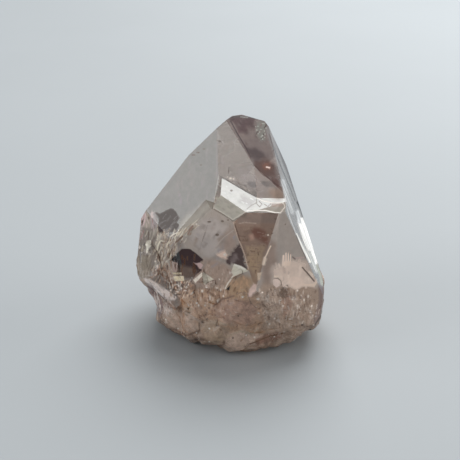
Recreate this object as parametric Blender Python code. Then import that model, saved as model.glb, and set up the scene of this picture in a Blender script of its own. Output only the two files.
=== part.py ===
"""Smoky quartz crystal: one grown piece with flat tapering faces, a stepped front and a broken, lumpy foot.

Lengths are in millimetres and turned into metres by MM. A face is given by three numbers: the compass
azimuth that it looks to (0 is the front, -Y; 90 is the right, +X), its rise (the angle by which it looks
upwards) and its distance from the origin. +Z is up, and the origin is the middle of the foot.
"""

import math
import random

import bmesh
import bpy
from mathutils import Matrix, Vector

MM = 0.001
NAME = "smoky_quartz"

# Overall
BLANK_SIDE = 120.0
SEAT_SHIFT = (0.3, -0.43)
FOOT_LEVEL = 0.0

# Faces of the main crystal: azimuth, rise, distance
MAIN_FACES = {
    "front": (3.0, 38.0, 24.7),
    "front right": (28.0, 36.2, 25.05),
    "left front": (-40.0, 29.9, 21.6),
    "right shoulder": (55.0, 46.1, 29.8),
    "right": (84.0, 23.7, 22.1),
    "upper left back": (-118.0, 41.2, 30.5),
    "lower left back": (-112.0, 33.7, 27.5),
    "back left": (-148.0, 56.0, 38.6),
    "back": (165.0, 57.2, 40.3),
    "right back": (130.0, 20.0, 24.3),
    "left front wall": (-52.0, 0.0, 12.9),
    "left back wall": (-112.0, 11.1, 21.8),
    "back wall": (-165.0, 6.0, 15.5),
    "right back wall": (125.0, -4.0, 12.0),
    "behind the nose, left": (-22.0, 9.8, 14.6),
    "behind the nose, right": (25.0, 12.0, 18.3),
    "behind the nose": (5.0, 19.5, 19.8),
}

# Faces of the second crystal, which stands out in front of the first and ends in the ledge
FRONT_SIDES = {
    "left": (-22.0, 9.8, 15.25),
    "right": (25.0, 12.0, 18.95),
    "right end": (84.0, 23.7, 22.2),
    "left end": (-75.0, 39.0, 24.1),
    "left wall": (-52.0, 0.0, 13.3),
    "right back end": (125.0, -4.0, 11.6),
    "inner end": (180.0, 0.0, -3.5),
}
NOSE = (5.0, 19.5, 20.4)
STEP_TOP = (40.4, 62.0, 31.65)
STEP_FRONT = (-7.0, 32.3, 25.0)
STEP_LEFT = (-91.0, 19.0, 13.15)
STEP_BOTTOM = (0.0, -90.0, -26.0)
LEDGE_TOP = (100.0, 88.0, 30.5)

# Faces that look downwards and round both crystals off towards the foot
UNDERSIDES = {
    "left": (-90.0, -26.0, 11.9),
    "front left, low": (-32.0, -48.0, 5.9),
    "front": (6.0, -12.0, 12.0),
    "front, low": (6.0, -52.0, 6.4),
    "front right, low": (38.0, -48.0, 8.2),
    "right": (84.0, -4.0, 17.8),
    "right, low": (88.0, -42.0, 10.4),
    "right back": (132.0, -34.0, 8.2),
    "back": (178.0, -30.0, 9.4),
    "left back": (-136.0, -34.0, 9.2),
}

# Broken crust around the foot: rows of low chips, each with its level, number and half size
CRUST_SEED = 23
CRUST_ROWS = (
    (0.8, 24, 4.0),
    (3.8, 30, 4.4),
    (6.8, 32, 4.2),
    (9.8, 32, 3.8),
    (12.6, 30, 3.1),
    (14.8, 24, 2.3),
)
CRUST_TOP = 15.8
CRUST_TOP_RIGHT = 6.5
RIGHT_SIDE = (50.0, 118.0)
CHIP_SINK = 0.7
CHIP_CUTS = 9
CHIP_FLAT = (0.66, 0.9)

# Rounded lumps of the foot: centre, half sizes and number of flats broken off
LUMPS = {
    "left rim": ((-15.0, -0.2, 13.6), (4.6, 4.2, 6.0), 9),
    "left": ((-10.6, -4.2, 4.9), (4.6, 4.8, 4.5), 6),
    "left foot": ((-8.4, -1.0, 2.6), (4.6, 4.6, 3.4), 5),
    "middle left": ((-3.6, -4.3, 3.2), (4.2, 5.2, 4.6), 6),
    "middle": ((3.2, -7.8, 3.4), (5.4, 5.6, 5.0), 6),
    "middle right": ((9.8, -6.6, 4.8), (5.6, 5.2, 5.0), 5),
    "right": ((12.8, -3.8, 5.2), (5.6, 5.6, 5.0), 5),
    "right rim": ((12.4, -0.4, 7.4), (7.9, 9.4, 6.8), 8),
    "back right": ((9.4, 7.6, 5.6), (5.6, 5.0, 5.6), 6),
    "back": ((-1.6, 10.4, 5.0), (6.0, 5.0, 5.4), 6),
    "back left": ((-11.2, 5.2, 6.2), (5.0, 5.0, 5.4), 6),
}
LUMP_DETAIL = 2
LUMP_FLAT = (0.74, 0.92)

# Small crystals on the faces: point on the surface, side, azimuth of the upright edge that shows, lean
SMALL_CRYSTALS = {
    "left of the middle": ((-5.4, -11.2, 16.8), 3.2, -14.0, -34.0),
    "under the nose": ((1.6, -13.2, 19.2), 2.6, 24.0, -48.0),
    "on the front face": ((0.2, -4.5, 34.5), 0.8, 10.0, -40.0),
    "low front": ((-8.6, -10.6, 11.8), 2.6, -38.0, -26.0),
    "low right": ((10.2, -12.0, 10.4), 2.8, 30.0, -20.0),
    "back left": ((-11.6, 10.0, 18.4), 3.0, -140.0, -32.0),
    "back right": ((8.8, 11.2, 16.2), 3.0, 150.0, -36.0),
    "back foot": ((-1.0, 15.0, 13.0), 3.2, 178.0, -30.0),
}
CRYSTAL_SINK = 0.42

# Fibrous zone on the left wall: short ribs in arcs round a middle, given across and up that wall
WALL = (-52.0, 0.0, 13.3)
WALL_EDGE = (8.0, -0.35)
RIB_MIDDLE = (6.6, 18.4)
RIB_TOP = 22.0
RIB_RINGS = (6.3, 7.5, 8.7, 9.9, 11.1)
RIB_ARC = (118.0, 226.0)
RIB_STEP = 20.0
RIB_LENGTH = 2.9
RIB_SIDE = 0.8
RIB_SINK = 0.22

# Flat band along the lower edge of the left wall: its two ends, width and height
BAND_ENDS = ((-15.5, -3.9, 12.4), (-9.9, -9.1, 9.2))
BAND_SECTION = (2.6, 2.4)
BAND_TURN = 24.0

# Shell-shaped chips out of the surface at the back: centre of the ball that takes them out, and its radius
SCOOPS = {
    "back": ((4.0, 21.0, 25.0), 7.0),
    "back low": ((-9.5, 18.5, 11.0), 6.0),
}
SCOOP_DETAIL = 3


def direction(azimuth, rise):
    """Unit vector that a face of this azimuth and rise looks along."""
    turn = math.radians(azimuth)
    up = math.radians(rise)
    return Vector((math.sin(turn) * math.cos(up), -math.cos(turn) * math.cos(up), math.sin(up)))


def cut_flat(shape, normal, point):
    """Takes away what lies beyond a plane and closes the shape with a flat face."""
    parts = shape.verts[:] + shape.edges[:] + shape.faces[:]
    cut = bmesh.ops.bisect_plane(
        shape, geom=parts, dist=1e-7, plane_co=point, plane_no=normal, clear_outer=True
    )
    rim = [part for part in cut["geom_cut"] if isinstance(part, bmesh.types.BMEdge)]
    if rim:
        bmesh.ops.contextual_create(shape, geom=rim)


def convex_body(faces, side=BLANK_SIDE):
    """Block cut by each face in turn."""
    shape = bmesh.new()
    bmesh.ops.create_cube(shape, size=side * MM)
    for azimuth, rise, distance in faces:
        normal = direction(azimuth, rise)
        cut_flat(shape, normal, normal * distance * MM)
    bmesh.ops.recalc_face_normals(shape, faces=shape.faces[:])
    return shape


def new_object(name, shape, collection):
    mesh = bpy.data.meshes.new(name)
    shape.to_mesh(mesh)
    shape.free()
    made = bpy.data.objects.new(name, mesh)
    collection.objects.link(made)
    return made


def reach(faces, start, way):
    """Distance in millimetres from a point inside to the first of these faces, and the way that face looks."""
    found = BLANK_SIDE
    outwards = way
    for azimuth, rise, distance in faces:
        normal = direction(azimuth, rise)
        slope = normal.dot(way)
        if slope > 1e-6 and (distance - normal.dot(start)) / slope < found:
            found = (distance - normal.dot(start)) / slope
            outwards = normal
    return found, outwards


def chip(centre, size, dice):
    """Small broken block: a ball of few faces with flats knocked off it in chance directions."""
    shape = bmesh.new()
    bmesh.ops.create_icosphere(shape, subdivisions=1, radius=size * MM)
    for _ in range(CHIP_CUTS):
        normal = direction(dice.uniform(-180.0, 180.0), dice.uniform(-80.0, 80.0))
        cut_flat(shape, normal, normal * size * dice.uniform(*CHIP_FLAT) * MM)
    turn = Matrix.Rotation(dice.uniform(0.0, math.tau), 4, "Z")
    tip = Matrix.Rotation(dice.uniform(-0.5, 0.5), 4, "X")
    bmesh.ops.transform(shape, verts=shape.verts[:], matrix=Matrix.Translation(centre * MM) @ turn @ tip)
    bmesh.ops.recalc_face_normals(shape, faces=shape.faces[:])
    return shape


def crust_top(azimuth):
    """Level that the crust climbs to: low on the right, where the crystal's side stays smooth."""
    start, end = RIGHT_SIDE
    return CRUST_TOP_RIGHT if start < azimuth % 360.0 < end else CRUST_TOP


def crust_chips(bodies, dice, collection):
    """Rows of chips around the foot, each sunk into the face that it sits on."""
    made = []
    for row, (row_level, count, size) in enumerate(CRUST_ROWS):
        for index in range(count):
            azimuth = (index + 0.5 * (row % 2) + dice.uniform(-0.3, 0.3)) * 360.0 / count
            level = row_level + dice.uniform(-1.0, 1.0)
            chip_size = size * dice.uniform(0.7, 1.2)
            if level > crust_top(azimuth):
                continue
            start = Vector((0.0, 0.0, level))
            way = direction(azimuth, 0.0)
            out, normal = max((reach(faces, start, way) for faces in bodies), key=lambda found: found[0])
            shape = chip(start + way * out - normal * CHIP_SINK * chip_size, chip_size, dice)
            made.append(new_object(f"chip_{len(made):03d}", shape, collection))
    return made


def lump(centre, half_sizes, flats, dice):
    """Rounded lump with a few flats broken off it."""
    shape = bmesh.new()
    bmesh.ops.create_icosphere(shape, subdivisions=LUMP_DETAIL, radius=1.0)
    for _ in range(flats):
        normal = direction(dice.uniform(-180.0, 180.0), dice.uniform(-50.0, 70.0))
        cut_flat(shape, normal, normal * dice.uniform(*LUMP_FLAT))
    bmesh.ops.scale(shape, verts=shape.verts[:], vec=Vector(half_sizes) * MM)
    bmesh.ops.translate(shape, verts=shape.verts[:], vec=Vector(centre) * MM)
    bmesh.ops.recalc_face_normals(shape, faces=shape.faces[:])
    return shape


def small_crystal(point, side, azimuth, lean):
    """Block set in the surface so that one upright edge and its two faces stand out."""
    shape = bmesh.new()
    bmesh.ops.create_cube(shape, size=side * MM)
    edge_out = Matrix.Rotation(math.radians(45.0), 4, "Z")
    tip = Matrix.Rotation(math.radians(lean), 4, "X")
    turn = Matrix.Rotation(math.radians(azimuth), 4, "Z")
    centre = Vector(point) - direction(azimuth, 0.0) * CRYSTAL_SINK * side
    place = Matrix.Translation(centre * MM) @ turn @ tip @ edge_out
    bmesh.ops.transform(shape, verts=shape.verts[:], matrix=place)
    return shape


def bar(start, end, width, height, roll):
    """Straight four-sided bar from one point to another, rolled about its length."""
    along = end - start
    shape = bmesh.new()
    bmesh.ops.create_cube(shape, size=MM)
    bmesh.ops.scale(shape, verts=shape.verts[:], vec=(along.length, width, height))
    lie = along.to_track_quat("X", "Z").to_matrix().to_4x4()
    place = Matrix.Translation((start + end) * 0.5 * MM)
    matrix = place @ lie @ Matrix.Rotation(math.radians(roll), 4, "X")
    bmesh.ops.transform(shape, verts=shape.verts[:], matrix=matrix)
    return shape


def fibre_ribs(dice, collection):
    """Short ribs in arcs on the left wall, each with one edge standing out of it."""
    azimuth, _, distance = WALL
    outwards = direction(azimuth, 0.0)
    across = direction(azimuth + 90.0, 0.0)
    upwards = Vector((0.0, 0.0, 1.0))
    middle = outwards * (distance - RIB_SINK) + across * RIB_MIDDLE[0] + upwards * RIB_MIDDLE[1]
    made = []
    for ring, radius in enumerate(RIB_RINGS):
        angle = RIB_ARC[0] + RIB_STEP * 0.5 * (ring % 2)
        while angle < RIB_ARC[1]:
            turn = math.radians(angle + dice.uniform(-6.0, 6.0))
            wide = radius + dice.uniform(-0.4, 0.4)
            angle += RIB_STEP * (RIB_RINGS[0] / radius) ** 0.5
            spot = middle + across * wide * math.cos(turn) + upwards * wide * math.sin(turn)
            if spot.z > RIB_TOP or spot.dot(across) > WALL_EDGE[0] + WALL_EDGE[1] * spot.z - RIB_SIDE:
                continue
            along = upwards * math.cos(turn) - across * math.sin(turn)
            half = along * RIB_LENGTH * dice.uniform(0.35, 0.6)
            side = RIB_SIDE * dice.uniform(0.6, 1.1)
            shape = bar(spot - half, spot + half, side, side, 45.0 + dice.uniform(-12.0, 12.0))
            made.append(new_object(f"rib_{len(made):02d}", shape, collection))
    return made


def scoop(centre, radius):
    """Ball that takes a shallow shell-shaped chip out of the surface."""
    shape = bmesh.new()
    place = Matrix.Translation(Vector(centre) * MM)
    bmesh.ops.create_icosphere(shape, subdivisions=SCOOP_DETAIL, radius=radius * MM, matrix=place)
    return shape


def add_boolean(target, name, operation, operand, solver="EXACT"):
    """Live Boolean with one object or one collection of objects."""
    cut = target.modifiers.new(name, "BOOLEAN")
    cut.operation = operation
    cut.solver = solver
    if isinstance(operand, bpy.types.Collection):
        cut.operand_type = "COLLECTION"
        cut.collection = operand
    else:
        cut.object = operand
    return cut


def smoky_material():
    material = bpy.data.materials.new("smoky quartz")
    material.use_nodes = True
    shader = material.node_tree.nodes["Principled BSDF"]
    shader.inputs["Base Color"].default_value = (0.62, 0.53, 0.47, 1.0)
    shader.inputs["Roughness"].default_value = 0.08
    shader.inputs["Metallic"].default_value = 0.0
    shader.inputs["IOR"].default_value = 1.544
    shader.inputs["Transmission Weight"].default_value = 0.85
    return material


def new_collection(name, parent):
    made = bpy.data.collections.new(name)
    parent.children.link(made)
    return made


def main():
    for old in list(bpy.data.objects):
        bpy.data.objects.remove(old, do_unlink=True)
    home = new_collection(NAME, bpy.context.scene.collection)
    tools = new_collection("shapes joined and cut", bpy.context.scene.collection)
    crust = new_collection("crust", tools)
    hollows = new_collection("hollows", tools)

    undersides = list(UNDERSIDES.values())
    main_faces = list(MAIN_FACES.values()) + undersides
    sides = list(FRONT_SIDES.values()) + undersides
    step_faces = sides + [NOSE, STEP_TOP, STEP_FRONT, STEP_LEFT, STEP_BOTTOM]
    ledge_faces = sides + [NOSE, STEP_FRONT, LEDGE_TOP]

    crystal = new_object(NAME, convex_body(main_faces), home)
    step = new_object("step", convex_body(step_faces), tools)
    ledge = new_object("ledge", convex_body(ledge_faces), tools)
    dice = random.Random(CRUST_SEED)
    grown = crust_chips((main_faces, ledge_faces), dice, crust)
    grown += [new_object(f"lump, {name}", lump(*values, dice), crust) for name, values in LUMPS.items()]
    grown += [new_object(name, small_crystal(*values), crust) for name, values in SMALL_CRYSTALS.items()]
    grown += fibre_ribs(dice, crust)
    band_start, band_end = (Vector(point) for point in BAND_ENDS)
    grown.append(new_object("band", bar(band_start, band_end, *BAND_SECTION, BAND_TURN), crust))
    scooped = [new_object(f"scoop, {name}", scoop(*values), hollows) for name, values in SCOOPS.items()]
    below = bmesh.new()
    bmesh.ops.create_cube(below, size=BLANK_SIDE * MM)
    bmesh.ops.translate(below, verts=below.verts[:], vec=(0.0, 0.0, (FOOT_LEVEL - 0.5 * BLANK_SIDE) * MM))
    floor = new_object("below the foot", below, tools)

    seat = bpy.data.objects.new("seat", None)
    home.objects.link(seat)
    seat.location = (SEAT_SHIFT[0] * MM, SEAT_SHIFT[1] * MM, 0.0)
    for shape in [crystal, step, ledge] + grown + scooped:
        shape.parent = seat
    for shape in [step, ledge, floor] + grown + scooped:
        shape.hide_render = True
        shape.display_type = "WIRE"

    add_boolean(crystal, "ledge", "UNION", ledge, solver="MANIFOLD")
    add_boolean(crystal, "step", "UNION", step, solver="MANIFOLD")
    add_boolean(crystal, "hollows", "DIFFERENCE", hollows, solver="MANIFOLD")
    add_boolean(crystal, "crust", "UNION", crust, solver="MANIFOLD")
    add_boolean(crystal, "foot", "DIFFERENCE", floor, solver="MANIFOLD")
    crystal.data.materials.append(smoky_material())


main()
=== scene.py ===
"""Smoky quartz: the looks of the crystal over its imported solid, and a plain pale studio."""

import math
import random

import bmesh
import bpy
import numpy as np
from bpy.props import FloatProperty, FloatVectorProperty, IntProperty, PointerProperty
from mathutils import Matrix, Vector, noise
from mathutils.kdtree import KDTree


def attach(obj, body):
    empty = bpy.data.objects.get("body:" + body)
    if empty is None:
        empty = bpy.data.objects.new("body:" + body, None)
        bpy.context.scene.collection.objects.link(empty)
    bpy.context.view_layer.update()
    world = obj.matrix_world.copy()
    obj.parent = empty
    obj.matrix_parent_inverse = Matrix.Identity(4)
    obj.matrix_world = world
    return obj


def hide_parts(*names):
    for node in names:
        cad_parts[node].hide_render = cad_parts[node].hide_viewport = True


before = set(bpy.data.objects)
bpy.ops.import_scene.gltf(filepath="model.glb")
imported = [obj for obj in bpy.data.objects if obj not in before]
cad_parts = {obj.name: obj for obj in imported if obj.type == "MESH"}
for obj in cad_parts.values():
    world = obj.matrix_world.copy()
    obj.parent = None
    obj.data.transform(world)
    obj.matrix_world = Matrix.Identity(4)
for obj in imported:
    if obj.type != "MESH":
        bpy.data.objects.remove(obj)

bl_info = {
    "name": "Smoky quartz crystal",
    "version": (1, 0, 0),
    "blender": (4, 5, 0),
    "location": "3D View > Sidebar > Quartz",
    "description": "Dresses the packed crystal in clear, milky and broken surfaces and sets a plain studio",
    "category": "Add Mesh",
}

MM = 0.001
NODE = "smoky_quartz"

# The photograph's frame, in pixels, and where its camera stands
PHOTO_SIDE = 460
PHOTO_FOCAL = 950.0
CAMERA_TARGET = Vector((0.0, -0.43, 21.5)) * MM
CAMERA_RISE = 27.0
CAMERA_AWAY = 190.0 * MM
SENSOR = 36.0
NEAREST_SEEN = 0.01

# Soft panels of the studio: azimuth and rise in degrees (0 is behind, 90 right), width and height in metres,
# radiance, colour
PANELS = {
    "window behind": ((16.0, 52.0), (0.62, 0.46), 5.1, (1.0, 1.0, 1.0)),
    "panel left": ((-101.0, 23.0), (0.32, 0.3), 3.0, (1.0, 1.0, 1.0)),
    "panel above": ((173.0, 49.0), (0.3, 0.26), 1.4, (1.0, 1.0, 1.0)),
    "panel right": ((88.0, 12.0), (0.34, 0.3), 4.6, (1.0, 0.98, 0.95)),
}
PANEL_AWAY = 0.6
PANEL_PARTS = (-0.33, 0.0, 0.33)

# The room's colour and radiance, the floor's radiance, what shows through a clear face, and what one mirrors
ROOM_COLOUR = (0.93, 0.97, 1.0, 1.0)
ROOM_LEVEL = 0.32
FLOOR_LEVEL = 0.5
THROUGH_LEVEL = 0.05
MIRROR_LEVEL = 0.45

# Light on white surfaces: its strength, and how much more falls on those that look to the right
LIGHT_STRENGTH = 1.06
LIGHT_LEAN = 0.16

# Floor: size in metres, roughness, specular level, swing of its brightness, and the slant and span of the
# painted light that makes it lighter towards its far right
FLOOR_SIZE = 3.0
FLOOR_ROUGHNESS = 0.62
FLOOR_SPECULAR = 0.4
FLOOR_SWING = 0.05
FLOOR_PAINTED_LIGHT_SLANT = 0.35
FLOOR_PAINTED_LIGHT = (0.0, 0.22, 1.0, 1.22)

# Quartz: its index of refraction, and the share of light that it mirrors when seen face on
QUARTZ_IOR = 1.544
FACE_ON_MIRROR = 0.0457

# Flat faces: how far apart their triangles may lie, the least slant upwards, and the least match as a cosine
MERGE = 0.002 * MM
PLANE_STEP = 0.1 * MM
LEAST_SLANT = -0.1
SAME_PLANE = 0.99999
SAME_FACE = 0.996
MARKED_FACE = 0.985

# Rounds of splitting for the whole surface and for its finest places
WIDE_ROUNDS = 9
FINE_ROUNDS = 4

# Edges of the foot that bend more than this stay sharp
CREASE = math.radians(40.0)

# Lumps of the foot: scale, and their fall, spread and layers; and the level under which no chip is rounded
LUMP_SCALE = 300.0
LUMP_FORM = (0.9, 2.1, 4)
REST_LEVEL = 0.05 * MM

# How high the broken foot reaches, where it starts to climb to the left and how steeply, and its blend
CRUST_TOP = 16.5 * MM
CRUST_CLIMB = 1.2
CRUST_CLIMB_START = 6.0 * MM
CRUST_BLEND = 2.0 * MM
CRUST_ON_FLATS = 0.8

# Small crystals that keep their edges: place and reach in mm
CRISP = (((-5.2, -11.4, 16.6), 3.2), ((2.0, -13.0, 18.8), 3.4))

# Fine patterns: scale, detail, roughness, distortion
PATTERNS = {
    "blotches": (260.0, 7.0, 0.6, 0.0),
    "grain": (900.0, 5.0, 0.7, 0.0),
    "clouds": (150.0, 5.0, 0.5, 0.6),
    "curls": (620.0, 2.0, 0.5, 1.6),
    "sides": (340.0, 2.0, 0.5, 0.0),
    "chips": (420.0, 3.0, 0.5, 0.0),
    "floor": (9.0, 5.0, 0.55, 0.0),
}
GRIT_SCALE = 1250.0
FACET_SCALE = 620.0

# Lines drawn out along one direction: fine scale across them, coarse scale along them, detail
STREAK_LINES = (1500.0, 55.0, 3.0)
GROWTH_LINES = (1700.0, 45.0, 2.0)
STREAK_WAY = (0.37, -0.22, -0.903)
GROWTH_UP = (0.0, 0.0, 1.0)
GROWTH_WAY = (0.8, 0.6, 0.0)

# How a pattern is stretched: from its low and high value, to the low and high value that is used
SPANS = {
    "grain": (0.3, 0.7, -1.0, 1.0),
    "streaks": (0.36, 0.64, -0.34, 0.34),
    "growth": (0.38, 0.62, -0.07, 0.07),
    "clouds": (0.4, 0.7, -0.04, 0.12),
    "threads": (0.0, 0.035, 1.0, 0.0),
    "painted highlight threads": (0.5, 0.62, 0.0, 1.0),
    "painted shade threads": (0.5, 0.38, 0.0, 1.0),
    "lit grains": (0.86, 0.89, 0.0, 1.0),
    "middle of a grain": (0.14, 0.34, 1.0, 0.0),
    "side of the glints": (0.46, 0.56, 0.0, 1.0),
    "veil of the foot": (0.35, 0.65, 0.75, 0.93),
}

# Stain of the broken foot: place, colour
STAIN = (
    (0.30, (0.20, 0.12, 0.08, 1.0)),
    (0.45, (0.34, 0.22, 0.155, 1.0)),
    (0.55, (0.43, 0.295, 0.22, 1.0)),
    (0.70, (0.56, 0.42, 0.33, 1.0)),
)

# Grain and roughness of the flat faces, and how much more the foot has
FLAT_GRAIN = 0.06
FOOT_GRAIN = 0.18
FLAT_ROUGHNESS = 0.04
FOOT_ROUGHNESS = 0.08

# What a full mark hides of the threads, how dull a full veil is and how it grows, and what the foot loses
MARK_OVER_THREADS = 0.62
DULLNESS = 0.5
DULLNESS_GROWTH = 3.0
FOOT_SHINE = 0.7

# Fine relief: the share of the grain, of the facets and of the growth lines beside the chips, and the whole
GRAIN_RELIEF = 0.4
FACET_RELIEF = -0.35
GROWTH_RELIEF = 0.02
RELIEF_STRENGTH = 0.7
RELIEF_HEIGHT = 0.0006

# Marks: darkest and brightest linear colour, and the cosines between which they fade on rough, turned faces
DARKEST = 0.008
BRIGHTEST = 0.96
TURNED_AWAY = (0.03, 0.22)

# Patches of less softness than this have sharp edges, and a sharp mark reaches this far, in pixels
SHARP = 1.3

# Flecks of more veil than this need a finer surface, up to this far outside their outline, in pixels
BUSY_VEIL = 0.4
BUSY_MARGIN = 1.0

# Unevenness of the marks' edges: its scale, the start of its noise, and its share in a streak
WOBBLE_SCALE = 500.0
WOBBLE_SEED = 7
STREAK_WOBBLE = 0.2

# Where a streak and a spot start and stop to fade, as shares of their width and radius
STREAK_EDGE = (0.2, 0.8)
SPOT_EDGE = (0.5, 1.4)

# Flecks: spread of their lean in degrees, greatest bow, and how much they cover
FLECK_SPREAD = 9.0
FLECK_BOW = 0.15
FLECK_COVER = (0.4, 1.0)
FLECK_SEED = 61

# Flat faces: azimuth and rise in degrees, the colour seen from 0 to 255, and veil, the share that isn't clear
FACES = {
    "front": ((3.0, 38.0), (126, 121, 117), 0.14),
    "left front": ((-40.0, 29.9), (124, 122, 118), 0.32),
    "front right": ((28.0, 36.2), (148, 138, 133), 0.42),
    "right shoulder": ((55.0, 46.1), (136, 125, 122), 0.36),
    # right: its pale grey is partly painted reflection of the bright floor and backdrop, over the quartz's
    # own tone
    "right": ((84.0, 23.7), (156, 156, 156), 0.35),
    "second, left": ((-22.0, 9.8), (140, 131, 124), 0.42),
    "second, right": ((25.0, 12.0), (153, 143, 136), 0.44),
    "nose": ((5.0, 19.5), (125, 106, 95), 0.4),
    # step top and step front: their pale colour and veil are painted reflection of the bright window behind
    "step top": ((40.4, 62.0), (206, 205, 200), 0.62),
    "step front": ((-7.0, 32.3), (192, 186, 174), 0.54),
    "ledge": ((100.0, 88.0), (162, 155, 145), 0.45),
    "left wall": ((-52.0, 0.0), (152, 140, 129), 0.55),
}
OTHER_FACE = ((140, 132, 126), 0.32)
SHOULDER = FACES["right shoulder"][0]
RIGHT_SIDE = FACES["right"][0]
NOSE = FACES["nose"][0]
STEP_TOP = FACES["step top"][0]
SECOND_RIGHT = FACES["second, right"][0]

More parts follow.
